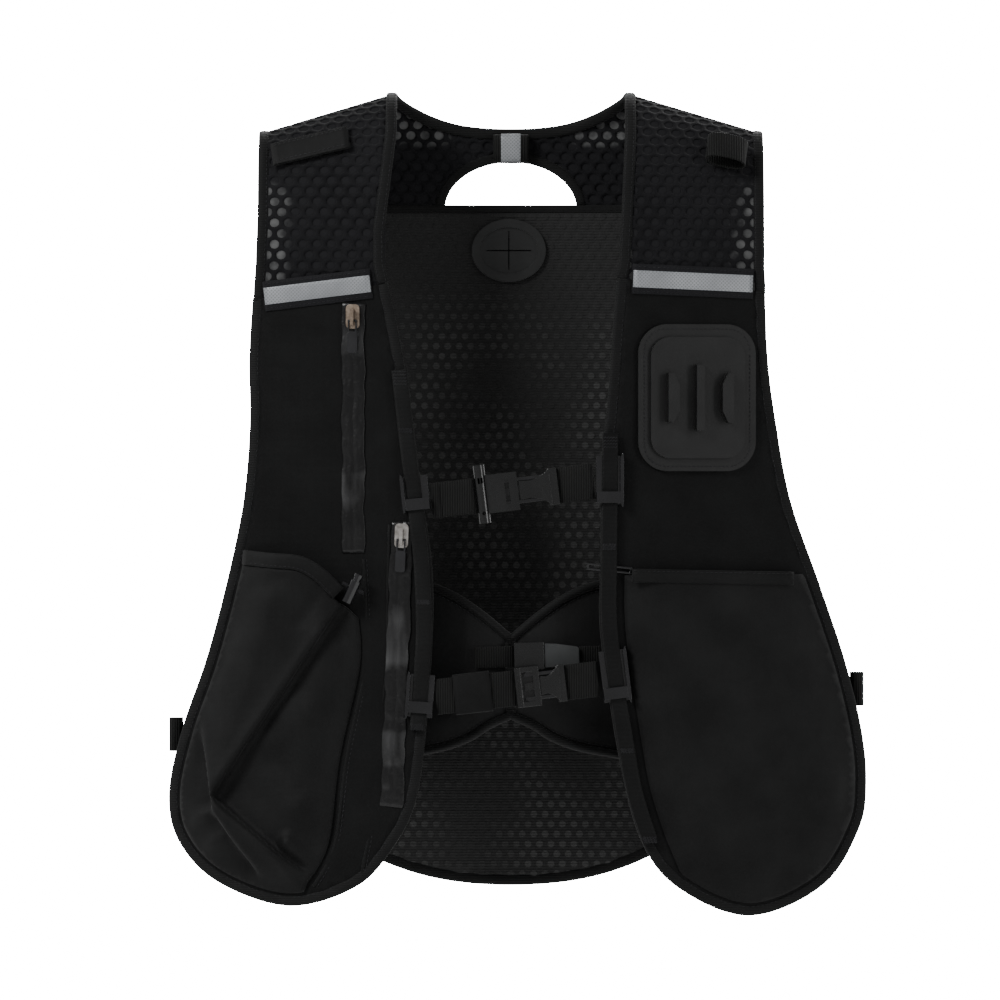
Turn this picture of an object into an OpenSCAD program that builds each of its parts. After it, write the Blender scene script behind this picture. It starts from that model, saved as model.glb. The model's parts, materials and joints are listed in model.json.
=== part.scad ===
/* [Vest] */
// Distance from the hang loop forward to the front sheet at the middle
front_depth = 115; // [105:1:125]
// Radius of the cylinder that the front panels lie on
front_r = 755; // [700:5:850]
// Radius of the cylinder that the back panel lies on
back_r = 900; // [850:10:1000]
// Distance from the origin back to the inner face of the back panel
back_gap = 3; // [3:0.5:4]
// Thickness of the front panel fabric
panel_t = 3; // [2.5:0.1:3]
// Thickness of the back spacer mesh
mesh_t = 4; // [3:0.1:4]
// Width of the edge binding
bind_w = 8; // [7.5:0.1:8]
// How far the binding stands proud of the fabric on each face
bind_proud = 0.6; // [0.4:0.1:0.6]

/* [Shoulders] */
// Height of the low point of the neckline over the hang loop's top
neck_z = 6; // [5:0.5:7]
// Height of the shoulder fold beside the neck
peak_z = 26; // [24:0.5:28]
// Half the width of the neck hole at the shoulder fold
neck_half = 84; // [83:0.5:85]
// Fall of the shoulder fold for each millimetre outward
shoulder_slope = 0.3; // [0.25:0.01:0.32]
// Height of the straight top edge of the back panel
back_top = -52; // [-53:0.5:-52]
// Half the width of the half-moon vent
vent_half = 50.4; // [48:0.2:51]
// Height of the half-moon vent
vent_h = 37; // [34:0.5:37]

/* [Webbing and straps] */
// Width of the chest strap webbing
web_w = 25; // [24:0.5:25]
// Thickness of the webbing
web_t = 1.5; // [1.2:0.1:1.5]
// Width of the daisy-chain rail webbing
rail_w = 11; // [10:0.5:11]
// Height of the upper chest strap at the middle
upper_z = -253; // [-254:0.5:-252]
// Slope of the upper chest strap in degrees
upper_tilt = 7; // [6.5:0.5:7.5]
// Height of the lower chest strap at the middle
lower_z = -391; // [-392:0.5:-390]
// Slope of the lower chest strap in degrees
lower_tilt = 6.4; // [6:0.1:7]

/* [Pockets] */
// Free depth of the stretch bottle pocket
bottle_depth = 12; // [8:0.5:13]
// Free depth of the flat left pocket
pocket_depth = 6.6; // [6:0.1:7]
// Free depth of the hydration pocket at the back
bladder_depth = 13; // [8:0.5:16]
// Thickness of the pocket fabric
skin_t = 1.4; // [1:0.1:1.6]

/* [Fittings] */
// Width of the lamp mount patch
lamp_w = 84; // [80:1:84]
// Height of the lamp mount patch
lamp_h = 103; // [98:1:103]
// How far the lamp ribs stand out of the raised pad
rib_out = 8; // [6:0.5:9]
// Width of the hose port
port_w = 53; // [50:0.5:54]
// Height of the hose port
port_h = 45; // [42:0.5:46]
// Radius of the whistle tube
whistle_r = 4.5; // [4:0.1:4.5]
// Radius of the cord lock barrel
lock_r = 3.8; // [3.6:0.1:3.8]

/* [Hidden] */

black = "#1c1c1e";
soft_black = "#26262a";
mesh_black = "#303036";
gloss_black = "#141416";
silver = "#c8cace";
bronze = "#8a7a66";
grey = "#9a9ca0";

$fn = 48;
ring_fn = 720;
gap = 0.4;
layer = panel_t + bind_proud;
front_axis_y = front_r - front_depth;
back_axis_y = back_gap - back_r;
low_z = -600;
tall = 700;

// Middle of the hose port
port_x = -1.4;
port_z = -81;

// The shoulder arch: the heights where the front and the back start to lean over
front_z0 = -85;
back_z0 = -50;
back_share = 0.42;
flat_half = 30;

// The lower belt wings lie on a tighter cylinder inside the front
wing_r = 226;
wing_y = -85;
wing_axis_y = wing_y + wing_r;
wing_t = 7;

// Outer edge of the right front panel, from the armhole down round the hem and up to the neck
right_edge = [
    [-181, -117], [-183.5, -160], [-183, -205], [-187.5, -259], [-199, -315], [-214, -371],
    [-231, -420], [-240.5, -466], [-233, -500], [-205, -528], [-155, -544], [-108, -530],
    [-82, -502], [-66.5, -470], [-59, -418], [-54.5, -350], [-55, -305], [-61.6, -259],
    [-68.6, -203], [-77, -150], [-86, -107]
];
// Outer edge of the left front panel, from the neck down round the hem and up to the armhole
left_edge = [
    [74, -104], [70.7, -146], [67, -196], [63, -235], [62.5, -300], [61.6, -343], [66.5, -385],
    [76.5, -445], [91, -498], [117, -531], [167, -551], [219, -530], [245, -490], [250, -457],
    [246.5, -420], [234.5, -371], [215.6, -315], [196, -259], [185.5, -203], [180, -160], [178, -112]
];
// Edge of the back panel from its top right corner round the hem to its top left corner
back_edge = [
    [-178, -52], [-175, -110], [-170, -200], [-168, -300], [-167, -370], [-161, -430], [-143, -476],
    [-108, -508], [-58, -528], [0, -534], [58, -528], [108, -508], [143, -476], [161, -430],
    [167, -370], [168, -300], [170, -200], [175, -110], [178, -52]
];

// Height of the seam between a yoke and its front panel
function seam_z(x) = x < 0 ? -106 + 0.118 * (x + 86) : -104 - 0.04 * (x - 85);

// Middle lines of the two rails
right_rail_line = [
    [-77.5, -168], [-73, -210], [-67.5, -255], [-62.5, -300],
    [-60.5, -345], [-62, -380], [-65, -420]
];
left_rail_line = [
    [69, -212], [68.5, -260], [68, -301], [68, -343],
    [72.5, -384], [79, -425], [86, -464], [97, -499]
];

// Where each strap's clips sit: x and z on the right rail, then on the left rail, and their slopes
upper_right_clip = [-66.6, -254];
upper_left_clip = [68.6, -245];
lower_right_clip = [-63.2, -396];
lower_left_clip = [72.2, -382];

// Zip lines
chest_zip_x = -110;
chest_zip_top = -121;
chest_zip_bottom = -296;
chest_slider_z = -130.5;
edge_zip_tilt = 2.2;
edge_slider = [-76, -284];
edge_zip_len = 200;

// Bottle pocket: its mouth from the armhole edge to the cord lock, and its inner seam downward
mouth_line = [[-186, -296], [-166, -298], [-145, -300], [-130, -308], [-116, -322]];
pocket_seam = [[-106, -342], [-105, -375], [-119, -440], [-127, -500], [-142, -528]];

/* ---- curves ---- */
function catmull(a, b, c, d, t) = 0.5 * (
    2 * b + (c - a) * t + (2 * a - 5 * b + 4 * c - d) * t * t + (3 * b - a - 3 * c + d) * t * t * t
);
function nth(p, i) = p[max(0, min(len(p) - 1, i))];
// A smooth open curve through the points of p
function curve(p, steps = 4) = [
    for (i = [0 : len(p) - 2], k = [0 : steps - 1])
        catmull(nth(p, i - 1), nth(p, i), nth(p, i + 1), nth(p, i + 2), k / steps),
    p[len(p) - 1]
];
function reversed(p) = [for (i = [len(p) - 1 : -1 : 0]) p[i]];
// The unit vector to the left of a flat curve at its point i
function left_of(p, i) = let (d = nth(p, i + 1) - nth(p, i - 1)) [-d[1], d[0]] / norm(d);
function shifted(p, w) = [for (i = [0 : len(p) - 1]) p[i] + left_of(p, i) * w];
function ribbon(p, w1, w2) = concat(shifted(p, w1), reversed(shifted(p, w2)));
function oval(cx, cz, w, h, n = 48) = [
    for (k = [0 : n - 1]) [cx + w / 2 * cos(360 * k / n), cz + h / 2 * sin(360 * k / n)]
];
// The part of a falling flat curve between two heights
function x_at(p, z) = lookup(z, [for (q = p) [q[1], q[0]]]);
function between(p, low, high) = [
    [x_at(p, high), high], for (q = p) if (q[1] > low && q[1] < high) q, [x_at(p, low), low]
];

/* ---- surfaces ---- */
function front_y(x) = front_axis_y - sqrt(front_r * front_r - x * x);
function back_y(x) = back_axis_y + sqrt(back_r * back_r - x * x);
function top_z(x) = abs(x) < neck_half
    ? neck_z + (peak_z - neck_z) * pow(abs(x) / neck_half, 2.4)
    : peak_z - shoulder_slope * (abs(x) - neck_half);
function lean(x) =
    let (q = max(0, min(1, (abs(x) - flat_half) / (neck_half - flat_half))))
    1 - sqrt(1 - q * q);
function arch_depth(x) = back_y(x) - front_y(x);
// A point d outside the arch at x; t runs from 0 where the sheet is upright to 90 at the fold
function back_arch(x, t, d) = let (
    a = lean(x) * back_share * arch_depth(x),
    h = top_z(x) - back_z0,
    n = [h * cos(t), a * sin(t)] / norm([h * cos(t), a * sin(t)])
) [x, back_y(x) - a * (1 - cos(t)) + d * n[0], back_z0 + h * sin(t) + d * n[1]];
function front_arch(x, t, d) = let (
    a = (1 - back_share) * arch_depth(x),
    h = top_z(x) - front_z0,
    n = [h * cos(t), a * sin(t)] / norm([h * cos(t), a * sin(t)])
) [x, front_y(x) + a * (1 - cos(t)) - d * n[0], front_z0 + h * sin(t) + d * n[1]];

// A closed solid through rings of an equal, even number of points, anticlockwise about the way they advance
module skin(rings) {
    n = len(rings);
    m = len(rings[0]);
    last = (n - 1) * m;
    points = [for (r = rings) each r];
    walls = [
        for (i = [0 : n - 2], k = [0 : m - 1])
            [i * m + k, (i + 1) * m + k, (i + 1) * m + (k + 1) % m, i * m + (k + 1) % m]
    ];
    start_cap = [for (k = [0 : m / 2 - 2]) [k, k + 1, m - 2 - k, m - 1 - k]];
    end_cap = [for (k = [0 : m / 2 - 2]) [last + k, last + m - 1 - k, last + m - 2 - k, last + k + 1]];
    polyhedron(points, concat(walls, start_cap, end_cap), convexity = 8);
}
function unit(v) = v / norm(v);
// Rings of an oval section, half widths hw across the sheet and ht through it, along a path with normals
function tape_rings(path, normals, hw, ht) = [
    for (i = [0 : len(path) - 1])
        let (t = unit(nth(path, i + 1) - nth(path, i - 1)), b = unit(cross(normals[i], t)), n = cross(t, b))
        [for (k = [0 : 7]) path[i] + b * hw * cos(45 * k + 22.5) + n * ht * sin(45 * k + 22.5)]
];

// What the outline of the children covers, d1 to d2 outside the front sheet
module on_front(d1, d2) {
    intersection() {
        translate([0, -10, 0]) rotate([90, 0, 0]) linear_extrude(height = 150) children();
        translate([0, front_axis_y, low_z]) difference() {
            cylinder(r = front_r + d2, h = tall, $fn = ring_fn);
            translate([0, 0, -1]) cylinder(r = front_r + d1, h = tall + 2, $fn = ring_fn);
        }
    }
}
module on_back(d1, d2) {
    intersection() {
        translate([0, 60, 0]) rotate([90, 0, 0]) linear_extrude(height = 110) children();
        translate([0, back_axis_y, low_z]) difference() {
            cylinder(r = back_r + d2, h = tall, $fn = ring_fn);
            translate([0, 0, -1]) cylinder(r = back_r + d1, h = tall + 2, $fn = ring_fn);
        }
    }
}
module on_wing(d1, d2) {
    intersection() {
        translate([0, -10, 0]) rotate([90, 0, 0]) linear_extrude(height = 110) children();
        translate([0, wing_axis_y, low_z]) difference() {
            cylinder(r = wing_r + d2, h = tall, $fn = ring_fn);
            translate([0, 0, -1]) cylinder(r = wing_r + d1, h = tall + 2, $fn = ring_fn);
        }
    }
}
// Puts the children on the front sheet: +X along it, +Z up, and -Y straight out of it
module at_front(x, z) {
    translate([0, front_axis_y, 0]) rotate([0, 0, asin(x / front_r)])
        translate([0, -front_r, z]) children();
}
module at_wing(x, z) {
    translate([0, wing_axis_y, 0]) rotate([0, 0, asin(x / wing_r)]) translate([0, -wing_r, z]) children();
}
// Puts the children in a chest strap's own frame: +X along the strap, its middle plane at Y = 0
strap_y = front_y(66) - 4.2 - web_t / 2;
module at_strap(z, tilt) {
    translate([0, strap_y, z]) rotate([0, -tilt, 0]) children();
}
module upper_place() { at_strap(upper_z, upper_tilt) children(); }
module lower_place() { at_strap(lower_z, lower_tilt) children(); }
// A box given by its two corners
module box(a, b) { translate(a) cube(b - a); }
// A plate in the X-Z plane with round corners, from y = -y2 to y = -y1
module round_plate(w, h, r, y1, y2) {
    translate([0, -y1, 0]) rotate([90, 0, 0]) linear_extrude(height = y2 - y1) {
        square([w - 2 * r, h], center = true);
        square([w, h - 2 * r], center = true);
        for (sx = [-1, 1], sz = [-1, 1]) translate([sx * (w / 2 - r), sz * (h / 2 - r)]) circle(r = r);
    }
}

/* ---- back ---- */
back_curve = curve(back_edge);
back_inner = shifted(back_curve, bind_w);

module back_panel() {
    color(mesh_black) on_back(0, mesh_t) difference() {
        polygon(back_inner);
        polygon(oval(port_x, port_z, port_w - 16, port_h - 16));
    }
}
module back_binding() {
    color(black) on_back(-bind_proud, mesh_t + bind_proud) polygon(ribbon(back_curve, 0, bind_w));
}
shell_curve = [for (p = shifted(back_curve, bind_w + 5)) [p[0], min(p[1], back_top - 8)]];
shell_wall = 4;
module back_shell() {
    d0 = mesh_t + gap;
    d1 = d0 + bladder_depth;
    color(soft_black) {
        on_back(d1, d1 + skin_t) polygon(shell_curve);
        on_back(d0, d1) polygon(ribbon(shell_curve, 0, shell_wall));
    }
}
vent_z = back_top + 0.5;
function yoke_low(x) = abs(x) >= vent_half ? vent_z : vent_z + vent_h * sqrt(1 - pow(x / vent_half, 2));
yoke_cols = [
    169.5, 150, 125, 105, 92.5, 89.5, 87, 83.5, 80, 75, 68, 60, 54, vent_half,
    49.5, 46, 40, 32, 22, 11
];
function yoke_end(x) = abs(x) > 89 ? 90 : 90 - 30 * (1 - lean(x)) - 12 * lean(x);
function yoke_t(x, k) = let (t0 = asin((yoke_low(x) - back_z0) / (top_z(x) - back_z0)), s = k / 8)
    t0 + (yoke_end(x) - t0) * s;
module back_yoke() {
    xs = concat([for (x = yoke_cols) -x], [0], reversed(yoke_cols));
    color(mesh_black) skin([
        for (x = xs) concat(
            [for (k = [0 : 8]) back_arch(x, yoke_t(x, k), mesh_t - 1)],
            [for (k = [8 : -1 : 0]) back_arch(x, yoke_t(x, k), 0)]
        )
    ]);
}

/* ---- shoulders ---- */
arch_steps = [0, 12, 24, 36, 48, 58, 68, 76, 84, 90];
// Inner and outer edges of the two yokes inside their bindings, by height
function yoke_inner(s, z) = s < 0
    ? -88.5 - 8.5 * max(0, min(1, -z / 70))
    : 88.5 - 4.5 * max(0, min(1, -z / 90));
function yoke_outer(s, z) = s < 0 ? -169.8 - 2 * max(0, min(1, -(z + 60) / 50)) : 169.8;
function yoke_x(s, u, z) = yoke_inner(s, z) + (yoke_outer(s, z) - yoke_inner(s, z)) * u;
function arch_height(x, t) = front_z0 + (top_z(x) - front_z0) * sin(t);
function yoke_column(s, u, d) = concat(
    [
        for (k = [0 : 2])
            let (x = yoke_x(s, u, -100 + 5 * k), low = seam_z(x) + 0.6)
            [x, front_y(x) - d, low + (front_z0 - low) * k / 3]
    ],
    [
        for (t = arch_steps)
            let (z = arch_height(yoke_x(s, u, 0), t), x = yoke_x(s, u, z))
            front_arch(x, t, d)
    ]
);
module yoke(s) {
    us = [for (k = [0 : 10]) s < 0 ? k / 10 : 1 - k / 10];
    color(mesh_black) skin([
        for (u = us) concat(yoke_column(s, u, panel_t), reversed(yoke_column(s, u, 0)))
    ]);
}
module right_yoke() { yoke(-1); }
module left_yoke() { yoke(1); }

function front_normal(x, t) = let (a = (1 - back_share) * arch_depth(x), h = top_z(x) - front_z0)
    unit([0, -h * cos(t), a * sin(t)]);
function back_normal(x, t) = let (a = back_share * arch_depth(x), h = top_z(x) - back_z0)
    unit([0, h * cos(t), a * sin(t)]);
// Middle of the neck binding up the front, by height
function neck_x(s, z) = yoke_inner(s, z) - s * (bind_w / 2 + 0.3);
function arm_x(s, z) = yoke_outer(s, z) + s * (bind_w / 2 + 0.3);
mid_t = panel_t / 2;
neck_rise = concat([[-103, 0], [-92, 0]], [for (t = arch_steps) if (t < 90) [0, t]]);
function neck_front(s) = [
    for (r = neck_rise)
        let (z = r[0] < 0 ? r[0] : arch_height(s * neck_half, r[1]), x = neck_x(s, z))
        r[0] < 0 ? [x, front_y(x) - mid_t, z] : front_arch(x, r[1], mid_t)
];
function neck_front_normals(s) = [for (r = neck_rise) front_normal(s * neck_half, r[1])];
neck_xs = [84, 82.6, 80, 76, 70, 62, 52, 40, 27, 13];
neck_all_x = concat([for (x = neck_xs) -x], [0], reversed(neck_xs));
neck_line = [
    for (x = neck_all_x)
        let (a = lean(x) * back_share * arch_depth(x))
        [x, back_y(x) - a + mid_t * (1 - lean(x)), top_z(x) + mid_t * lean(x) - bind_w / 2 * (1 - lean(x))]
];
neck_normals = [for (x = neck_all_x) [0, cos(90 * lean(x)), sin(90 * lean(x))]];
module neck_binding() {
    path = concat(neck_front(-1), neck_line, reversed(neck_front(1)));
    normals = concat(neck_front_normals(-1), neck_normals, reversed(neck_front_normals(1)));
    color(black) skin(tape_rings(path, normals, bind_w / 2, mid_t + bind_proud));
}
arm_steps = [for (t = arch_steps) if (t < 90) t];
module armhole_binding(s) {
    low = s < 0 ? [-116, -108, -97] : [-111.5, -105, -97];
    front = [for (z = low) let (x = arm_x(s, z)) [x, front_y(x) - mid_t, z]];
    rise = [for (t = arm_steps) let (x = arm_x(s, arch_height(s * 170, t))) front_arch(x, t, mid_t)];
    fall = [for (t = concat([90], reversed(arm_steps))) back_arch(arm_x(s, 0), t, mid_t)];
    path = concat(front, rise, fall);
    normals = concat(
        [for (z = low) front_normal(s * 170, 0)],
        [for (t = arm_steps) front_normal(s * 170, t)],
        [for (t = concat([90], reversed(arm_steps))) back_normal(s * 170, t)]
    );
    skin(tape_rings(path, normals, bind_w / 2, mid_t + bind_proud));
}
module armhole_bindings() {
    color(black) for (s = [-1, 1]) armhole_binding(s);
}

/* ---- front panels ---- */
right_curve = curve(right_edge);
left_curve = curve(left_edge);
right_inner = shifted(right_curve, bind_w);
left_inner = shifted(left_curve, bind_w);

module right_front() { color(soft_black) on_front(0, panel_t) polygon(right_inner); }
module left_front() { color(soft_black) on_front(0, panel_t) polygon(left_inner); }
module right_front_binding() {
    color(black) on_front(-bind_proud, layer) polygon(ribbon(right_curve, 0, bind_w));
}
module left_front_binding() {
    color(black) on_front(-bind_proud, layer) polygon(ribbon(left_curve, 0, bind_w));
}
// A tape across the seam of a yoke, from x1 to x2 and w wide
function seam_tape(x1, x2, w) = ribbon([[x1, seam_z(x1)], [x2, seam_z(x2)]], -w / 2, w / 2);
tape_w = 21;
reflector_w = 12;
module seam_tapes() {
    color(black) {
        on_front(panel_t + gap, panel_t + gap + 0.8) polygon(seam_tape(-172.6, -97.4, tape_w));
        on_front(panel_t + gap, panel_t + gap + 0.8) polygon(seam_tape(84.5, 169.2, tape_w));
    }
}
hang_w = 25;
hang_out = 6;
module reflectors() {
    d = panel_t + 2 * gap + 0.8;
    color(silver) {
        on_front(d, d + 0.5) polygon(seam_tape(-172, -98, reflector_w));
        on_front(d, d + 0.5) polygon(seam_tape(85, 168.6, reflector_w));
        box([-7, back_gap - hang_out - web_t - 0.7, -15], [7, back_gap - hang_out - web_t - 0.2, -2]);
    }
}
// Webbing sewn to the neckline and to the vent's top, standing clear between them for a hook
module hang_loop() {
    y1 = back_gap - 0.3;
    y0 = back_gap - hang_out - web_t;
    color(black) difference() {
        box([-hang_w / 2, y0, -18.2], [hang_w / 2, y1, -1 + web_t]);
        box([-hang_w / 2 - 1, y0 + web_t, -18.2 + web_t], [hang_w / 2 + 1, y1 + 1, -1]);
    }
}
module port_grommet() {
    color(gloss_black) difference() {
        union() {
            on_back(-2.6, -0.3) difference() {
                polygon(oval(port_x, port_z, port_w, port_h));
                polygon(oval(port_x, port_z, port_w - 12, port_h - 12));
            }
            on_back(-1.5, -0.3) polygon(oval(port_x, port_z, port_w - 12, port_h - 12));
            on_back(-0.3, mesh_t) difference() {
                polygon(oval(port_x, port_z, port_w - 16.6, port_h - 16.6));
                polygon(oval(port_x, port_z, port_w - 19.6, port_h - 19.6));
            }
        }
        box([port_x - 0.4, -8, port_z - 14], [port_x + 0.4, 6, port_z + 14]);
        box([port_x - 16, -8, port_z - 0.4], [port_x + 16, 6, port_z + 0.4]);
    }
}

/* ---- zips ---- */
film_t = 0.8;
film_w = 16;
slider_d = panel_t + gap + film_t + gap;
module zip_tape(len) {
    translate([0, -panel_t - gap, 0]) {
        box([-film_w / 2, -film_t, -len], [-0.5, 0, 0]);
        box([0.5, -film_t, -len], [film_w / 2, 0, 0]);
        box([-0.5, -film_t, -len], [0.5, 0, -len + 3]);
    }
}
module zip_slider() {
    translate([0, -slider_d, 0]) {
        round_plate(9.6, 17, 3, 0, 2);
        box([-1.2, -4.6, 3.6], [1.2, -2, 5.2]);
        box([-1.2, -4.6, -6.2], [1.2, -2, -4.6]);
        box([-1.2, -5.8, -6.2], [1.2, -4.6, 5.2]);
    }
}
pull_out = slider_d + 3.3;
pull_z = -3;
module zip_pull() {
    translate([0, -pull_out, pull_z]) {
        translate([-3.2, 0, 0]) rotate([0, 90, 0]) cylinder(r = 0.8, h = 6.4);
        for (s = [-1, 1]) box([s * 2.7 - 0.5, -0.6, -8], [s * 2.7 + 0.5, 0.6, 0]);
        translate([0, 0.7, -15]) round_plate(7, 15, 2, 0, 1.4);
    }
}
module chest_zip_tape() {
    color(gloss_black) at_front(chest_zip_x, chest_zip_top) zip_tape(chest_zip_top - chest_zip_bottom);
}
module chest_zip_slider() { color(bronze) at_front(chest_zip_x, chest_slider_z) zip_slider(); }
module chest_zip_pull() { color(bronze) at_front(chest_zip_x, chest_slider_z) zip_pull(); }
module edge_zip_place() {
    at_front(edge_slider[0], edge_slider[1]) rotate([0, edge_zip_tilt, 0]) children();
}
module edge_zip_tape() { color(gloss_black) edge_zip_place() translate([0, 0, 10]) zip_tape(edge_zip_len); }
module edge_zip_slider() { color(silver) edge_zip_place() zip_slider(); }
module edge_zip_pull() { color(silver) edge_zip_place() zip_pull(); }

/* ---- bottle pocket ---- */
pocket_wall = 3;
bottle_out = layer + gap;
// The armhole edge and hem of the right panel inside its binding, between the mouth and the seam's foot
pocket_rim = [
    for (p = shifted(right_curve, bind_w + 1)) if (p[1] < -300 && p[0] < -140) p
];
pocket_side = curve(reversed(pocket_seam));
mouth_curve = curve(mouth_line);
pocket_outline = concat(pocket_rim, pocket_side, reversed(shifted(mouth_curve, -8)));
pocket_wall_line = concat(pocket_rim, pocket_side);
module bottle_pocket() {
    d1 = bottle_out + bottle_depth;
    color(soft_black) {
        on_front(d1, d1 + skin_t) polygon(pocket_outline);
        on_front(bottle_out, d1) polygon(ribbon(pocket_wall_line, 0.01, pocket_wall));
    }
}
module bottle_hem() {
    d1 = bottle_out + bottle_depth;
    color(black) on_front(d1 - 0.2, d1 + skin_t + 0.6) polygon(ribbon(mouth_curve, -7.7, 3));
}
lock_top = [-104, -311];
lock_tilt = 25;
lock_len = 21.5;
lock_out = panel_t + bind_proud + gap + lock_r + 6;
// The cord lock's own frame: +Z up along the barrel from its lower end
module at_lock() {
    at_front(lock_top[0] - lock_len * sin(lock_tilt), lock_top[1] - lock_len * cos(lock_tilt))
        translate([0, -lock_out, 0]) rotate([0, lock_tilt, 0]) children();
}
cord_r = 1.2;
cord_z = 11;
module cord_lock() {
    color(gloss_black) at_lock() difference() {
        cylinder(r = lock_r, h = 16.5);
        translate([0, 0, 2]) cylinder(r = lock_r - 1, h = 20);
        translate([-10, 0, cord_z]) rotate([0, 90, 0]) cylinder(r = cord_r + 0.3, h = 20);
    }
}
module cord_lock_button() {
    color(gloss_black) at_lock() difference() {
        union() {
            translate([0, 0, 7]) cylinder(r = lock_r - 1.05, h = 12);
            translate([0, 0, 19]) cylinder(r = lock_r - 0.4, h = 2.5);
        }
        hull() {
            for (up = [0, 2]) translate([-10, 0, cord_z + up]) rotate([0, 90, 0])
                cylinder(r = cord_r + 0.35, h = 20, $fn = 32);
        }
    }
}
module cord_lock_spring() {
    color(silver) at_lock() translate([0, 0, 2.1]) difference() {
        cylinder(r = lock_r - 1.3, h = 4.7);
        translate([0, 0, -1]) cylinder(r = lock_r - 1.9, h = 7);
    }
}
module drawcord() {
    color(black) at_lock() translate([-8.2, 0, cord_z]) rotate([0, 90, 0]) cylinder(r = cord_r, h = 16.5);
}

/* ---- left pocket ---- */
rail_out = layer + 2.6;
clip_half = 9.6;
right_rail_curve = curve(right_rail_line);
left_rail_curve = curve(left_rail_line);
welt_z = -311;
pocket_front = 83;
left_rim = concat(
    [for (p = shifted(left_rail_curve, clip_half + 1.6)) if (p[1] < welt_z - 6) p],
    [for (p = shifted(left_curve, bind_w + 1)) if (p[1] < welt_z - 6 && p[0] > pocket_front + 34) p]
);
module left_pocket() {
    d0 = layer + gap;
    d1 = d0 + pocket_depth;
    color(soft_black) {
        on_front(d1, d1 + skin_t) polygon(left_rim);
        on_front(d0, d1) polygon(ribbon(left_rim, 0.01, pocket_wall));
    }
}
module left_welt() {
    d1 = layer + gap + pocket_depth;
    color(black) on_front(d1 - 0.4, d1 + skin_t + 0.4)
        polygon([
            [pocket_front, welt_z - 5.6], [pocket_front + 117, welt_z - 5.6],
            [pocket_front + 116, welt_z + 4], [pocket_front, welt_z + 4]
        ]);
}
pull_loop_len = 32;
pull_loop_h = 4.8;
pull_loop_t = 1.4;
module pocket_pull_loop() {
    bar = 1.4;
    color(gloss_black) at_front(pocket_front + 1, welt_z + 2.4)
        translate([0, -layer - 0.4, 0]) rotate([0, 6, 0]) difference() {
            box([-pull_loop_len, -pull_loop_t, -pull_loop_h / 2], [0, 0, pull_loop_h / 2]);
            box([bar - pull_loop_len, -3, bar - pull_loop_h / 2], [-bar, 1, pull_loop_h / 2 - bar]);
        }
}

/* ---- lamp mount ---- */
lamp_x = 129.5;
lamp_z = -187.3;
pad_top = panel_t + gap + 5;
module rib(x, h, w, side) {
    translate([x, -pad_top, 0]) rotate([90, 0, 0]) linear_extrude(height = rib_out)
        polygon(side == 0
            ? [[-w / 2, -h / 2], [w / 2, -h / 2], [w / 2, h / 2], [-w / 2, h / 2]]
            : [
                [-side * w / 2, -h / 2], [0, -h / 2], [side * w / 2, -h / 2 + w],
                [side * w / 2, h / 2 - w], [0, h / 2], [-side * w / 2, h / 2]
            ]);
}
module lamp_mount() {
    color(gloss_black) at_front(lamp_x, lamp_z) {
        round_plate(lamp_w, lamp_h, 21, panel_t + gap, panel_t + gap + 2);
        round_plate(lamp_w - 17, lamp_h - 18, 14, panel_t + gap + 2, pad_top);
        rib(-18.4, 34, 8, 1);
        rib(0.6, 46, 5.6, 0);
        rib(20.2, 35, 8, -1);
    }
}

/* ---- rails and clips ---- */
function centred(p, w) = ribbon(p, -w / 2, w / 2);
module rail(line, tacks) {
    color(black) {
        on_front(rail_out, rail_out + web_t) polygon(centred(line, rail_w));
        for (t = tacks) on_front(layer + gap, rail_out) polygon(centred(between(line, t[0], t[1]), rail_w));
    }
}
module right_rail() { rail(right_rail_curve, [[-178.5, -168], [-212, -208], [-332, -328], [-420, -415]]); }
module left_rail() { rail(left_rail_curve, [[-222.5, -213], [-294, -289], [-436, -432], [-499, -494]]); }

clip_in = layer + gap + 0.5;
clip_plate = clip_in + 1.3;
// A clip in its own frame, with the rim on +X and the bar's middle at height bar_z
module rail_clip(h, bar_z) {
    bar_in = rail_out + web_t + gap;
    color(gloss_black) {
        box([-clip_half, -clip_plate, -h / 2 + 2], [clip_half, -clip_in, h / 2 - 2]);
        translate([clip_half, -clip_plate, 0]) rotate([90, 0, 0])
            linear_extrude(height = bar_in + 1.8 - clip_plate) polygon([
                [-2.4, 4 - h / 2], [-1.5, 1 - h / 2], [-0.6, -h / 2], [0, 4 - h / 2],
                [0, h / 2 - 4], [-0.6, h / 2], [-1.5, h / 2 - 1], [-2.4, h / 2 - 4]
            ]);
        box([-clip_half, -bar_in - 1.6, bar_z - 4], [clip_half - 2.4, -bar_in, bar_z + 4]);
        box([-clip_half, -bar_in, bar_z - 4], [-clip_half + 2.2, -clip_plate, bar_z + 4]);
    }
}
module upper_clips() {
    at_front(upper_left_clip[0], upper_left_clip[1]) rail_clip(38, -12);
    at_front(upper_right_clip[0], upper_right_clip[1]) rotate([0, -6, 0])
        mirror([1, 0, 0]) rail_clip(28, -8);
}
module lower_clips() {
    at_front(lower_left_clip[0], lower_left_clip[1]) rotate([0, -7, 0]) rail_clip(40, -12);
    at_front(lower_right_clip[0], lower_right_clip[1]) rotate([0, 4, 0])
        mirror([1, 0, 0]) rail_clip(34, -8);
}

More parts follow.
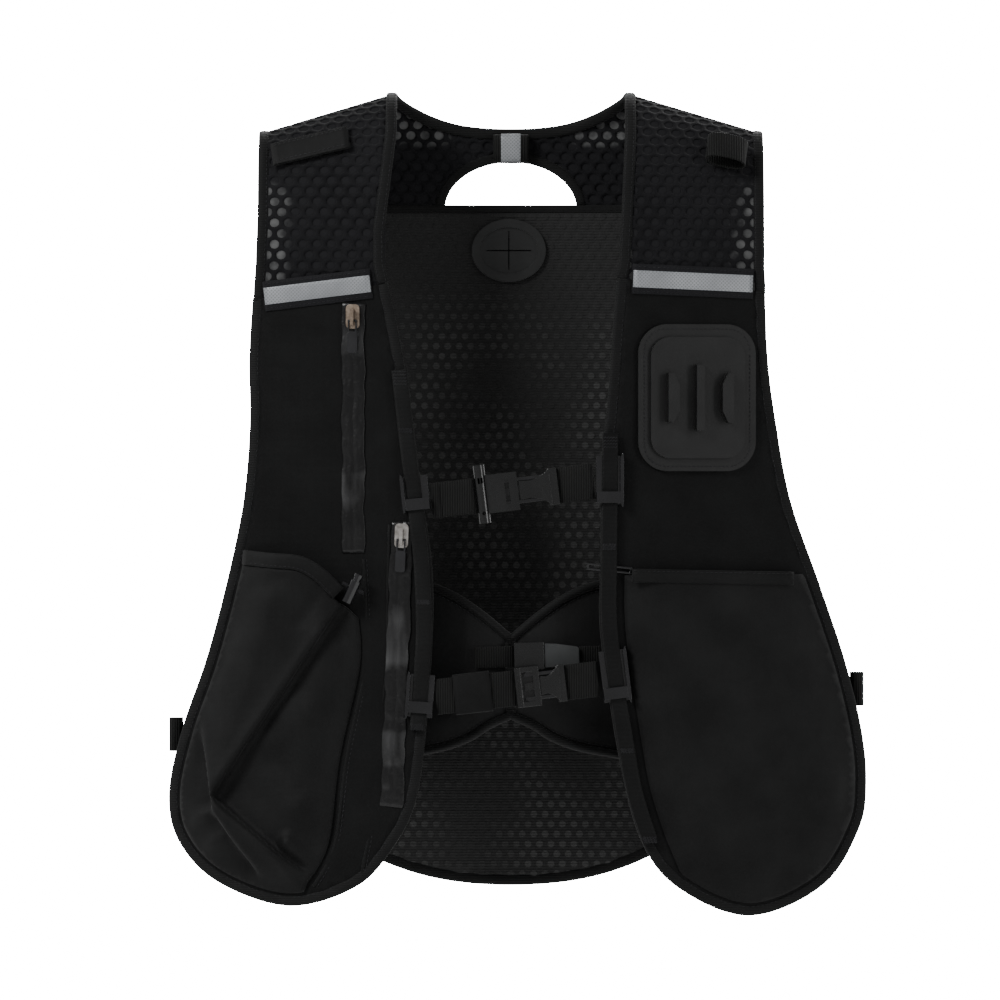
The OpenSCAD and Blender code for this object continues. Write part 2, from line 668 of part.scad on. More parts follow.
/* ---- chest strap webbing ---- */
half_web = web_w / 2;
half_t = web_t / 2;
module strap_piece(x1, x2) { box([x1, -half_t, -half_web], [x2, half_t, half_web]); }
upper_left_end = 58.2;
upper_right_end = -56.2;
module upper_webbing() {
    color(black) upper_place() {
        strap_piece(upper_right_end, -25.3);
        box([-49, -half_t - web_t, -half_web + 0.5], [-25.3, -half_t, half_web - 0.5]);
    }
}
module upper_tail() { color(black) upper_place() strap_piece(33.3, upper_left_end); }
module lower_webbing() { color(black) lower_place() strap_piece(-53, 3.2); }
module lower_tail() { color(black) lower_place() strap_piece(38.8, 61); }
keeper_t = 1.2;
module lower_keeper() {
    in_t = half_t + 0.5;
    in_h = half_web + 0.5;
    color(soft_black) lower_place() difference() {
        box([-40, -in_t - keeper_t, -in_h - keeper_t], [-14, in_t + keeper_t, in_h + keeper_t]);
        box([-41, -in_t, -in_h], [-13, in_t, in_h]);
    }
}

/* ---- side release buckles ---- */
// A socket from x = 0 to x = len, open at len, with windows for the prong heads near its middle
module socket(len, h, t, bars) {
    wall = 2;
    difference() {
        box([0, -t / 2, -h / 2], [len, t / 2, h / 2]);
        box([4, -t / 2 + 1.6, -h / 2 + wall + 0.5], [len + 1, t / 2 - 1.6, h / 2 - wall - 0.5]);
        box([5.5, -t / 2 + 1.6, -h / 2 - 1], [13, t / 2 - 1.6, h / 2 + 1]);
        if (bars) box([len - 9, -t / 2 - 1, -h / 2 + 5], [len - 6, -t / 2 + 2, h / 2 - 5]);
    }
}
// The plug's base from x = 0 outward, its tongue reaching back to x = -reach, and a cover plate
module plug(base, reach, cover, h, t) {
    box([0, -t / 2 + 1.2, -h / 2], [base, t / 2 - 1.2, h / 2]);
    box([-reach, -1.5, -2.6], [0, 1.5, 2.6]);
    translate([0, -t / 2 + 1.4, 0]) rotate([90, 0, 0]) linear_extrude(height = 1)
        polygon([
            [-cover, -6.5], [-cover, 6.5], [-cover * 0.6, 6],
            [-cover * 0.3, 7.5], [0, h / 2 - 2], [2, h / 2],
            [2, -h / 2], [0, -h / 2 + 2], [-cover * 0.3, -7.5], [-cover * 0.6, -6]
        ]);
}
// One sprung prong above the tongue, with its head from x = -reach
module prong(reach, head, h) {
    box([-reach, -1.9, h / 2 - 6.8], [-0.3, 1.9, h / 2 - 4.4]);
    translate([0, 1.9, 0]) rotate([90, 0, 0]) linear_extrude(height = 3.8)
        polygon([
            [-reach + 1, h / 2 - 5], [-reach + 1, h / 2 - 4.4], [-reach + head - 1.2, h / 2 - 1.2],
            [-reach + head, h / 2 - 1.2], [-reach + head, h / 2 - 5]
        ]);
}
buckle_h = 27;
upper_socket_x = -16;
upper_base_x = 26;
whistle_x = -20.5;
module upper_socket() {
    color(gloss_black) upper_place() {
        difference() {
            union() {
                translate([upper_socket_x, 0, 0]) socket(21, buckle_h, 9, true);
                box([whistle_x, -3, -buckle_h / 2], [upper_socket_x, 3, buckle_h / 2]);
                translate([whistle_x, 0, -20]) cylinder(r = whistle_r, h = 41);
            }
            translate([whistle_x, 0, -16]) cylinder(r = whistle_r - 1.5, h = 40);
            box([whistle_x - 1.8, -6, 8], [whistle_x + 1.8, 0, 12]);
            translate([whistle_x, 0, -13]) rotate([90, 0, 0]) cylinder(r = 1.3, h = 6);
        }
    }
}
module upper_plug() {
    color(gloss_black) upper_place() translate([upper_base_x, 0, 0]) plug(7, 35, 20, 26, 9);
}
module upper_prong_top() {
    color(gloss_black) upper_place() translate([upper_base_x, 0, 0]) prong(35.5, 6.4, buckle_h);
}
module upper_prong_bottom() {
    color(gloss_black) upper_place() translate([upper_base_x, 0, 0])
        mirror([0, 0, 1]) prong(35.5, 6.4, buckle_h);
}
lower_socket_x = 3.6;
lower_base_x = 32.4;
module lower_socket() {
    color(gloss_black) lower_place() translate([lower_socket_x, 0, 0]) {
        difference() {
            socket(16.8, 28, 8.6, false);
            box([4.6, -5, -10.4], [12.4, -2, 10.4]);
        }
        box([2, -5.4, -14], [4, -4.3, 14]);
    }
}
module lower_plug() {
    color(gloss_black) lower_place() translate([lower_base_x, 0, 0]) plug(6, 23, 11.5, 26, 8.6);
}
module lower_prong_top() {
    color(gloss_black) lower_place() translate([lower_base_x, 0, 0]) prong(23, 6.4, 28);
}
module lower_prong_bottom() {
    color(gloss_black) lower_place() translate([lower_base_x, 0, 0]) mirror([0, 0, 1]) prong(23, 6.4, 28);
}

/* ---- belt wings ---- */
wing_top = [[1, -352], [20, -336], [40, -323], [62, -315], [110, -305], [163, -302]];
wing_low = [[1, -414], [14, -420], [30, -430], [56, -438], [110, -446], [163, -444]];
pipe_w = 6;
module wing(s) {
    top = shifted(curve(wing_top), -pipe_w);
    low = shifted(curve(wing_low), pipe_w);
    color(soft_black) on_wing(0, wing_t)
        polygon([for (p = concat(top, reversed(low))) [s * p[0], p[1]]]);
}
module right_wing() { wing(-1); }
module left_wing() { wing(1); }
module wing_piping() {
    color(black) for (s = [-1, 1], edge = [[wing_top, -1], [wing_low, 1]])
        on_wing(-0.5, wing_t + 0.5)
            polygon([for (p = ribbon(curve(edge[0]), 0, edge[1] * (pipe_w - 0.1))) [s * p[0], p[1]]]);
}
belt_z = -369;
belt_y = wing_y - wing_t - 5.2;
belt_h = 17;
module at_belt() { translate([0, belt_y, belt_z]) rotate([0, -2, 0]) children(); }
module belt_webbing() { color(black) at_belt() box([-26, 3, -7.5], [2.2, 4.2, 7.5]); }
module belt_socket() {
    color(gloss_black) at_belt() translate([2.4, 0, 0]) difference() {
        box([0, -3.4, -belt_h / 2 - 1], [21, 3.4, belt_h / 2 + 1]);
        box([4, -2, -belt_h / 2 + 0.8], [22, 2, belt_h / 2 - 0.8]);
    }
}
module belt_plug() {
    color(grey) at_belt() translate([23.8, 0, 0]) {
        box([-15, -1.5, -belt_h / 2 + 1.4], [0, 1.5, belt_h / 2 - 1.4]);
        rotate([90, 0, 0]) translate([0, 0, -2.6]) linear_extrude(height = 5.2)
            polygon([[0, -8.5], [0, 8.5], [8, 8], [23, 5.5], [24, 4], [24, -6.5], [10, -8]]);
    }
}
module belt_tail() { color(black) at_belt() box([48.2, 1, -6], [66, 2.2, 5]); }

/* ---- shoulder keepers ---- */
tab_x = -141;
tab_t = 50;
// The frame of the arch at x and t: X along the fold, Z up the sheet, -Y out of it
module at_arch(x, t, d) {
    p = front_arch(x, t, d);
    ex = unit(front_arch(x + 1, t, d) - front_arch(x - 1, t, d));
    up = unit(front_arch(x, t + 1, d) - front_arch(x, t - 1, d));
    ey = unit(cross(up, ex));
    ez = cross(ex, ey);
    multmatrix([
        [ex[0], ey[0], ez[0], p[0]], [ex[1], ey[1], ez[1], p[1]],
        [ex[2], ey[2], ez[2], p[2]], [0, 0, 0, 1]
    ]) children();
}
tab_len = 56;
tab_w = 20;
module shoulder_tab() {
    color(black) at_arch(tab_x, tab_t, panel_t + 1.8) round_plate(tab_len, tab_w, 3, 0, 2.2);
}
loop_w = 29;
loop_h = 14;
loop_len = 20;
module stadium(w, h) {
    square([w - h, h], center = true);
    for (s = [-1, 1]) translate([s * (w - h) / 2, 0]) circle(r = h / 2);
}
module shoulder_loop() {
    color(black) at_arch(150, 46, panel_t + 1.6) translate([0, -loop_h / 2, -loop_len / 2])
        linear_extrude(height = loop_len) difference() {
            stadium(loop_w, loop_h);
            stadium(loop_w - 3.2, loop_h - 3.2);
        }
}

/* ---- side straps ---- */
// Elastic straps from the front panels' outer edges back to the back panel's edges
module side_strap(x1, z1, x2, z2) {
    y1 = front_y(x1) + 1;
    y2 = back_y(x2) - 1;
    run = norm([x2 - x1, y2 - y1]);
    turn = atan2(y2 - y1, x2 - x1);
    translate([x1, y1, z1]) rotate([0, 0, turn]) rotate([0, -atan2(z2 - z1, run), 0])
        box([0, -0.9, -12.5], [run, 0.9, 12.5]);
}
module side_straps() {
    color(black) {
        side_strap(-228.5, -424, -170, -424);
        side_strap(238.5, -398, 170, -398);
    }
}

back_panel();
back_shell();
back_yoke();
back_binding();
neck_binding();
armhole_bindings();
right_yoke();
left_yoke();
right_front();
left_front();
right_front_binding();
left_front_binding();
seam_tapes();
reflectors();
hang_loop();
port_grommet();
chest_zip_tape();
chest_zip_slider();
chest_zip_pull();
edge_zip_tape();
edge_zip_slider();
edge_zip_pull();
bottle_pocket();
bottle_hem();
drawcord();
cord_lock();
cord_lock_button();
cord_lock_spring();
left_pocket();
left_welt();
pocket_pull_loop();
lamp_mount();
right_rail();
left_rail();
upper_clips();
upper_webbing();
upper_socket();
upper_plug();
upper_prong_top();
upper_prong_bottom();
upper_tail();
lower_clips();
lower_webbing();
lower_keeper();
lower_socket();
lower_plug();
lower_prong_top();
lower_prong_bottom();
lower_tail();
right_wing();
left_wing();
wing_piping();
belt_webbing();
belt_socket();
belt_plug();
belt_tail();
shoulder_tab();
shoulder_loop();
side_straps();
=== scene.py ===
import json
import math
import random

import bpy
import numpy as np
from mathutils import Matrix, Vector
from mathutils.geometry import delaunay_2d_cdt


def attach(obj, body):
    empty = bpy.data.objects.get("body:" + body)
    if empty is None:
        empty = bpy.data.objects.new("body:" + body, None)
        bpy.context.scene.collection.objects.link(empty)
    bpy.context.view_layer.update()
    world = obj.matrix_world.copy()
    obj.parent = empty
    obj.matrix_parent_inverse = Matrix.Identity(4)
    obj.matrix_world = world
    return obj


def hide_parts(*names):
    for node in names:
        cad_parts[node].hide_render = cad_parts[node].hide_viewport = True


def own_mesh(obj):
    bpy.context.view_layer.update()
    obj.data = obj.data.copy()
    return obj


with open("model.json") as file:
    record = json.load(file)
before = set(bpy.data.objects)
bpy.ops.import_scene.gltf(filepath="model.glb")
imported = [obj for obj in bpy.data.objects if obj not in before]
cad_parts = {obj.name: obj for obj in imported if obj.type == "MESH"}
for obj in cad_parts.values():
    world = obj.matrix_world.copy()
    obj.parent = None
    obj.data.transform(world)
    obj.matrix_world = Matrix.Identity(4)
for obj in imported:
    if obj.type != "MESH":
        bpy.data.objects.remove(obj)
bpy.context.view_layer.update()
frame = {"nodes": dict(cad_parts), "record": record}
NODES = frame["nodes"]
BODY = {n: b for b, ns in frame["record"]["behaviour"]["bodies"].items() for n in ns}

# ---- camera
SENSOR = 36
CAM_DIST, VIEW_W = 6.0, 0.70  # metres: the distance to the vest's front, and the width seen there
FRONT_Y = -0.115
cam = bpy.data.cameras.new("camera")
cam_obj = bpy.data.objects.new("camera", cam)
bpy.context.scene.collection.objects.link(cam_obj)
cam_obj.location = (-0.0077, FRONT_Y - CAM_DIST, -0.259)
cam_obj.rotation_euler = (math.pi / 2, 0, 0)
cam.sensor_width = SENSOR
cam.lens = SENSOR * CAM_DIST / VIEW_W
cam.clip_start, cam.clip_end = 0.05, 60
bpy.context.scene.camera = cam_obj

# ---- the vest's surfaces, in millimetres
FR, FD = 755.0, 115.0  # the front sheet: its radius, and how far forward its middle stands
FAY = FR - FD
BR, BG = 900.0, 3.0  # the back sheet: its radius, and how far back its middle stands
BAY = BG - BR
WR, WY = 226.0, -85.0  # the belt wings: their radius, and where their middle stands
WAY = WY + WR
PANEL_T, MESH_T, BIND_W, PROUD = 3.0, 4.0, 8.0, 0.6
LAYER = PANEL_T + PROUD  # how far out a piece sewn on a panel starts
BIND_IN = BIND_W * 0.62  # how far a sheet's edge lies inside its binding
NECK_HALF, BACK_TOP = 84.0, -52.0
F0, B0 = -85.0, -50.0  # the heights above which the front and the back lean together
SHARE, FLAT = 0.42, 30.0  # the back's share of the lean, and the half width that has none
YOKE_X, YOKE_END = 170, 175  # the armholes' half width, and the yoke mesh's
VENT_X, VENT_Z, VENT_RISE = 50.4, -51.5, 37  # the half-moon vent
BOTTLE_BULGE, POCKET_BULGE, COVER_BULGE = 12.0, 6.4, 13.0  # how far the pockets' faces rise


def front_y(x):
    return FAY - math.sqrt(FR * FR - x * x)


def back_y(x):
    return BAY + math.sqrt(BR * BR - x * x)


def top_z(x):
    a = abs(x)
    return 6 + 20 * (a / 84) ** 2.4 if a < 84 else 26 - 0.3 * (a - 84)


def lean(x):
    q = max(0.0, min(1.0, (abs(x) - FLAT) / (NECK_HALF - FLAT)))
    return 1 - math.sqrt(1 - q * q)


def depth(x):
    return back_y(x) - front_y(x)


def arc_normal(x, radius, side):
    return (x / radius, side * math.sqrt(1 - (x / radius) ** 2), 0.0)


def on_front(x, z, d=0.0):
    return (x + d * x / FR, front_y(x) - d * math.sqrt(1 - (x / FR) ** 2), z)


def front_n(x):
    return arc_normal(x, FR, -1)


def on_back(x, z, d=0.0):
    return (x + d * x / BR, back_y(x) + d * math.sqrt(1 - (x / BR) ** 2), z)


def back_n(x):
    return arc_normal(x, BR, 1)


def on_wing(x, z, d=0.0):
    r = WR + d
    s = x / WR
    return (r * s, WAY - r * math.sqrt(1 - s * s), z)


def back_arch(x, t, d):
    a, h = lean(x) * SHARE * depth(x), top_z(x) - B0
    c, s = math.cos(math.radians(t)), math.sin(math.radians(t))
    m = math.hypot(h * c, a * s)
    return (x, back_y(x) - a * (1 - c) + d * h * c / m, B0 + h * s + d * a * s / m)


def front_arch(x, t, d):
    a, h = (1 - SHARE) * depth(x), top_z(x) - F0
    c, s = math.cos(math.radians(t)), math.sin(math.radians(t))
    m = math.hypot(h * c, a * s)
    return (x, front_y(x) + a * (1 - c) - d * h * c / m, F0 + h * s + d * a * s / m)


def seam_z(x):
    return -106 + 0.118 * (x + 86) if x < 0 else -104 - 0.04 * (x - 85)


def yoke_inner(s, z):
    if s < 0:
        return -88.5 - 8.5 * max(0, min(1, -z / 70))
    return 88.5 - 4.5 * max(0, min(1, -z / 90))


def yoke_outer(s, z):
    return -169.8 - 2 * max(0, min(1, -(z + 60) / 50)) if s < 0 else 169.8


RIGHT_EDGE = [
    (-181, -117), (-183.5, -160), (-183, -205), (-187.5, -259), (-199, -315), (-214, -371),
    (-231, -420), (-240.5, -466), (-233, -500), (-205, -528), (-155, -544), (-108, -530),
    (-82, -502), (-66.5, -470), (-59, -418), (-54.5, -350), (-55, -305), (-61.6, -259),
    (-68.6, -203), (-77, -150), (-86, -107),
]
LEFT_EDGE = [
    (74, -104), (70.7, -146), (67, -196), (63, -235), (62.5, -300), (61.6, -343), (66.5, -385),
    (76.5, -445), (91, -498), (117, -531), (167, -551), (219, -530), (245, -490), (250, -457),
    (246.5, -420), (234.5, -371), (215.6, -315), (196, -259), (185.5, -203), (180, -160), (178, -112),
]
BACK_EDGE = [
    (-178, -52), (-175, -110), (-170, -200), (-168, -300), (-167, -370), (-161, -430), (-143, -476),
    (-108, -508), (-58, -528), (0, -534), (58, -528), (108, -508), (143, -476), (161, -430),
    (167, -370), (168, -300), (170, -200), (175, -110), (178, -52),
]
RIGHT_RAIL = [(-77.5, -168), (-73, -210), (-67.5, -255), (-62.5, -300), (-60.5, -345), (-62, -380), (-65, -420)]
LEFT_RAIL = [(69, -212), (68.5, -260), (68, -301), (68, -343), (72.5, -384), (79, -425), (86, -464), (97, -499)]
MOUTH = [(-186, -296), (-166, -298), (-145, -300), (-130, -308), (-116, -322)]
POCKET_SEAM = [(-106, -342), (-105, -375), (-119, -440), (-127, -500), (-142, -528)]
WING_TOP = [(1, -352), (20, -336), (40, -323), (62, -315), (110, -305), (163, -302)]
WING_LOW = [(1, -414), (14, -420), (30, -430), (56, -438), (110, -446), (163, -444)]


# ---- small helpers
def curve(pts, steps=8):
    pts = [np.array(p, float) for p in pts]
    out = []
    n = len(pts)
    for i in range(n - 1):
        a, b, c, d = pts[max(i - 1, 0)], pts[i], pts[i + 1], pts[min(i + 2, n - 1)]
        for k in range(steps):
            t = k / steps
            bend, twist = 2 * a - 5 * b + 4 * c - d, 3 * b - a - 3 * c + d
            out.append(0.5 * (2 * b + (c - a) * t + bend * t * t + twist * t ** 3))
    out.append(pts[-1])
    return np.array(out)


def run_length(pts):
    """How far along an open path each of its points lies."""
    return np.concatenate([[0], np.cumsum(np.linalg.norm(np.diff(np.asarray(pts, float), axis=0), axis=1))])


def even(pts, step):
    """The same open path with points step apart."""
    pts = np.asarray(pts, float)
    s = run_length(pts)
    n = max(2, int(round(s[-1] / step)) + 1)
    at = np.linspace(0, s[-1], n)
    return np.stack([np.interp(at, s, pts[:, k]) for k in range(pts.shape[1])], 1)


def shifted(p, w):
    p = np.asarray(p, float)
    g = np.gradient(p, axis=0)
    n = np.stack([-g[:, 1], g[:, 0]], 1)
    n /= np.linalg.norm(n, axis=1)[:, None]
    return p + n * w


def unit(v):
    v = np.asarray(v, float)
    return v / np.linalg.norm(v)


def dist_to(pts, line, closed=False):
    """Distance from each of pts to a flat polyline."""
    pts, line = np.asarray(pts, float), np.asarray(line, float)
    a = line if closed else line[:-1]
    b = np.roll(line, -1, axis=0) if closed else line[1:]
    best = np.full(len(pts), 1e9)
    for p, q in zip(a, b):
        d = q - p
        ll = max(d @ d, 1e-9)
        t = np.clip(((pts - p) @ d) / ll, 0, 1)
        best = np.minimum(best, np.linalg.norm(pts - (p + t[:, None] * d), axis=1))
    return best


def inside(pts, poly):
    pts, poly = np.asarray(pts, float), np.asarray(poly, float)
    x, y = pts[:, 0], pts[:, 1]
    c = np.zeros(len(pts), bool)
    j = len(poly) - 1
    for i in range(len(poly)):
        xi, yi, xj, yj = poly[i, 0], poly[i, 1], poly[j, 0], poly[j, 1]
        hit = ((yi > y) != (yj > y)) & (x < (xj - xi) * (y - yi) / ((yj - yi) or 1e-9) + xi)
        c ^= hit
        j = i
    return c


def smooth(e0, e1, x):
    t = np.clip((np.asarray(x, float) - e0) / (e1 - e0), 0, 1)
    return t * t * (3 - 2 * t)


def fill(outline, step):
    """Flat points and triangles that cover a closed outline, with points about step apart."""
    ring = even(np.vstack([outline, outline[:1]]), step)[:-1]
    lo, hi = ring.min(0), ring.max(0)
    rows = []
    h = step * 0.866
    k = 0
    z = lo[1]
    while z < hi[1]:
        xs = np.arange(lo[0] + (k % 2) * step / 2, hi[0], step)
        rows.append(np.stack([xs, np.full(len(xs), z)], 1))
        z += h
        k += 1
    grid = np.vstack(rows)
    grid = grid[inside(grid, ring)]
    grid = grid[dist_to(grid, ring, True) > step * 0.55]
    pts = np.vstack([ring, grid])
    v, _, f, _, _, _ = delaunay_2d_cdt([Vector(p) for p in pts], [], [list(range(len(ring)))], 1, 1e-4)
    return np.array([tuple(p) for p in v]), [list(t) for t in f]


def thicken(obj, thick, offset=-1.0, even_wall=False):
    m = obj.modifiers.new("thick", "SOLIDIFY")
    m.thickness = thick / 1000
    m.offset = offset
    m.use_even_offset = even_wall


def piece(name, verts, faces, mat, body, slot):
    """A smooth piece from vertices in millimetres."""
    mesh = bpy.data.meshes.new(name)
    mesh.from_pydata([tuple(c / 1000 for c in p) for p in verts], [], faces)
    mesh.update()
    obj = bpy.data.objects.new(name, mesh)
    bpy.context.scene.collection.objects.link(obj)
    mesh.materials.append(mat)
    mesh.shade_smooth()
    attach(obj, body)
    return obj


def make(name, verts, faces, mat, node, slot, thick=0.0, offset=-1.0, even_wall=True):
    """A piece that rides with a CAD node and stands for it."""
    obj = piece(name, verts, faces, mat, BODY[node], slot)
    obj.data.validate()
    if thick:
        thicken(obj, thick, offset, even_wall)
    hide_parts(node)
    return obj


def detail(name, parts, mat, body="vest", slot="binding"):
    """Several small meshes as one piece that stands for no node. parts are (verts, faces)."""
    return piece(name, *join(parts), mat, body, slot)


def join(parts):
    vs, fs = [], []
    for v, f in parts:
        n = len(vs)
        vs += [tuple(p) for p in v]
        fs += [[i + n for i in g] for g in f]
    return vs, fs


def sweep(path, normals, profile, caps=True, closed=False):
    """A tube along a path with outward normals. Its profile is (across, out) points, or one list of them a ring."""
    path, normals = np.asarray(path, float), np.asarray(normals, float)
    n = len(path)
    vs, fs = [], []
    single = not isinstance(profile[0][0], (list, tuple, np.ndarray))
    m = len(profile if single else profile[0])
    for i in range(n):
        if closed:
            t = unit(path[(i + 1) % n] - path[i - 1])
        else:
            t = unit(path[min(i + 1, n - 1)] - path[max(i - 1, 0)])
        b = unit(np.cross(normals[i], t))
        o = np.cross(t, b)
        for u, w in (profile if single else profile[i]):
            vs.append(tuple(path[i] + b * u + o * w))
    rings = n if closed else n - 1
    for i in range(rings):
        a, c = i * m, ((i + 1) % n) * m
        for k in range(m):
            k2 = (k + 1) % m
            fs.append([a + k, c + k, c + k2, a + k2])
    if caps and not closed:
        fs.append(list(range(m)))
        fs.append([(n - 1) * m + k for k in range(m - 1, -1, -1)])
    return vs, fs


def circle(a, b, n):
    return [(a * math.cos(q), b * math.sin(q)) for q in np.linspace(0, 2 * math.pi, n + 1)[:-1]]


def round_band(w, t):
    """A folded tape's profile, thick nearly out to its edges."""
    return [(w / 2 * math.cos(a), t / 2 * math.copysign(abs(math.sin(a)) ** 0.6, math.sin(a)))
            for a in (math.radians(22.5 * k + 11.25) for k in range(16))]


def tape(w, t, crown=0.0, out=0.0):
    """A flat tape's profile: w wide, from out to out + t, its upper face crowned."""
    r = min(t * 0.45, w * 0.2)
    pts = []
    x, top, low = w / 2 - r, t - r, r
    for cx, cy, a0 in ((x, top, 0), (-x, top, 90), (-x, low, 180), (x, low, 270)):
        for k in range(4):
            a = math.radians(a0 + 30 * k)
            pts.append((cx + r * math.cos(a), out + cy + r * math.sin(a)))
    if crown:
        rise = [(w * (0.5 - k) * 0.8, out + t + crown * (1 - (2 * k - 1) ** 2))
                for k in (0.15, 0.35, 0.5, 0.65, 0.85)]
        pts = pts[:4] + rise + pts[4:]
    return pts


def over_front(line, out):
    """A path over the front with its normals. out is one distance, or one for each point."""
    path = [on_front(x, z, d) for (x, z), d in zip(line, np.broadcast_to(out, len(line)))]
    return path, [front_n(x) for x, _ in line]


def stitches(path, normals, lift, pitch=3.4, long=2.3, r=0.32, across=0.0):
    """Little thread lumps along a path, as a row of machine stitches."""
    path, nn = np.asarray(path, float), np.asarray(normals, float)
    s = run_length(path)
    parts = []
    at = np.arange(pitch / 2, s[-1] - pitch / 3, pitch)
    for a in at:
        p = np.array([np.interp(a, s, path[:, k]) for k in range(3)])
        q = np.array([np.interp(min(a + 0.5, s[-1]), s, path[:, k]) for k in range(3)])
        n = unit([np.interp(a, s, nn[:, k]) for k in range(3)])
        t = unit(q - p)
        b = np.cross(n, t)
        c = p + n * lift + b * across
        v = []
        for f, w, up in ((-0.5, 0.25, -0.15), (-0.25, 1, 0.1), (0.25, 1, 0.1), (0.5, 0.25, -0.15)):
            for k in range(4):
                g = math.radians(90 * k + 45)
                v.append(tuple(c + t * long * f + b * r * w * math.cos(g) + n * (r * w * math.sin(g) + up * r)))
        f = [[i + k, i + (k + 1) % 4, i + 4 + (k + 1) % 4, i + 4 + k] for i in (0, 4, 8) for k in range(4)]
        f += [[3, 2, 1, 0], [12, 13, 14, 15]]
        parts.append((v, f))
    return parts


class Place:
    """A local frame in millimetres: call it with a local point."""

    def __init__(self, o, ex, ey, ez):
        self.o, self.ex, self.ey, self.ez = (np.array(q, float) for q in (o, ex, ey, ez))

    def __call__(self, x, y=0.0, z=0.0):
        return self.o + self.ex * x + self.ey * y + self.ez * z

    def turned(self, deg):
        """Turned about its own Y axis, as rotate([0, deg, 0]) turns it."""
        a = math.radians(deg)
        ex = self.ex * math.cos(a) - self.ez * math.sin(a)
        ez = self.ex * math.sin(a) + self.ez * math.cos(a)
        return Place(self.o, ex, self.ey, ez)


def at_front(x, z, y=0.0):
    a = math.asin(x / FR)
    ex = (math.cos(a), math.sin(a), 0)
    ey = (-math.sin(a), math.cos(a), 0)
    o = np.array([x, front_y(x), z]) + np.array(ey) * y
    return Place(o, ex, ey, (0, 0, 1))


def at_strap(z, tilt):
    return Place((0, front_y(66) - 4.2 - 0.75, z), (1, 0, 0), (0, 1, 0), (0, 0, 1)).turned(-tilt)


def at_arch(x, t, d):
    p = np.array(front_arch(x, t, d))
    ex = unit(np.array(front_arch(x + 1, t, d)) - np.array(front_arch(x - 1, t, d)))
    up = unit(np.array(front_arch(x, t + 1, d)) - np.array(front_arch(x, t - 1, d)))
    ey = unit(np.cross(up, ex))
    return Place(p, ex, ey, np.cross(ex, ey))


UPPER = at_strap(-253, 7.0)
LOWER = at_strap(-391, 6.4)
BELT = Place((0, WY - 7 - 5.2, -369), (1, 0, 0), (0, 1, 0), (0, 0, 1)).turned(-2)


# ---- materials
WAVE_SCALE = 2 * math.pi * 1000 / 20  # a wave texture's scale for ribs 1 mm apart
# painted highlights down the zip film: the stops of its paleness, from FILM_TOP to FILM_END
FILM_PAINTED_SHEEN = (
    (0.0, 0.3), (0.07, 0.5), (0.1, 0.45), (0.13, 0.16), (0.17, 0.32), (0.2, 0.13), (0.3, 0.15), (0.335, 0.55),
    (0.385, 0.5), (0.42, 0.26), (0.5, 0.22), (0.535, 0.06), (0.57, 0.25), (0.62, 0.52), (0.7, 0.62), (0.74, 0.08),
    (0.81, 0.06), (0.84, 0.5), (0.9, 0.55), (0.92, 0.24), (0.945, 0.4), (0.98, 0.05),
)
FILM_TOP, FILM_END = -0.12, -0.48  # metres, where the sheen's first and last stops lie


def material(name, base, rough, metallic=0.0, sheen=0.0, coat=0.0, spec=0.5):
    m = bpy.data.materials.new(name)
    m.use_nodes = True
    b = m.node_tree.nodes["Principled BSDF"]
    for key, value in (
        ("Base Color", (*base, 1)), ("Roughness", rough), ("Metallic", metallic), ("Sheen Weight", sheen),
        ("Sheen Roughness", 0.5), ("Coat Weight", coat), ("Coat Roughness", 0.12), ("Specular IOR Level", spec),
    ):
        b.inputs[key].default_value = value
    return m, m.node_tree, b


def shader(nt, kind, inputs, **settings):
    """A shader node. An input is linked where a socket is given, and set where a value is."""
    n = nt.nodes.new("ShaderNode" + kind)
    for key, value in settings.items():
        setattr(n, key, value)
    for key, value in inputs.items():
        if isinstance(value, bpy.types.NodeSocket):
            nt.links.new(value, n.inputs[key])
        else:
            n.inputs[key].default_value = value
    return n


def coords(nt, turn=0.0, scale=(1, 1, 1)):
    at = shader(nt, "TexCoord", {}).outputs["Object"]
    return shader(nt, "Mapping", {"Vector": at, "Rotation": (0, turn, 0), "Scale": scale}).outputs["Vector"]


def axes(nt):
    return shader(nt, "SeparateXYZ", {0: shader(nt, "TexCoord", {}).outputs["Object"]}).outputs


def noise(nt, vec, scale, octaves=3.0):
    return shader(nt, "TexNoise", {"Vector": vec, "Scale": scale, "Detail": octaves}).outputs["Fac"]


def wave(nt, vec, pitch_mm, direction="X", distort=0.0):
    inputs = {"Vector": vec, "Scale": WAVE_SCALE / pitch_mm, "Distortion": distort, "Detail": 1.0}
    return shader(nt, "TexWave", inputs, bands_direction=direction).outputs["Fac"]


def calc(nt, op, a, b=0.0):
    return shader(nt, "Math", {0: a, 1: b}, operation=op).outputs[0]


def plus(nt, a, b):
    return calc(nt, "ADD", a, b)


def times(nt, a, b):
    return calc(nt, "MULTIPLY", a, b)


def remap(nt, value, lo, hi, to_lo=0.0, to_hi=1.0, kind="LINEAR"):
    inputs = {"Value": value, "From Min": lo, "From Max": hi, "To Min": to_lo, "To Max": to_hi}
    return shader(nt, "MapRange", inputs, interpolation_type=kind).outputs["Result"]


def bump(nt, b, height, dist_mm, strength):
    n = shader(nt, "Bump", {"Height": height, "Distance": dist_mm / 1000, "Strength": strength})
    nt.links.new(n.outputs["Normal"], b.inputs["Normal"])


def tint(nt, b, fac, dark, light):
    n = shader(nt, "ValToRGB", {"Fac": fac})
    for stop, at, color in zip(n.color_ramp.elements, (0.3, 0.75), (dark, light)):
        stop.color = (*color, 1)
        stop.position = at
    nt.links.new(n.outputs["Color"], b.inputs["Base Color"])


def vary_rough(nt, b, fac, lo, hi):
    nt.links.new(remap(nt, fac, 0.0, 1.0, lo, hi), b.inputs["Roughness"])


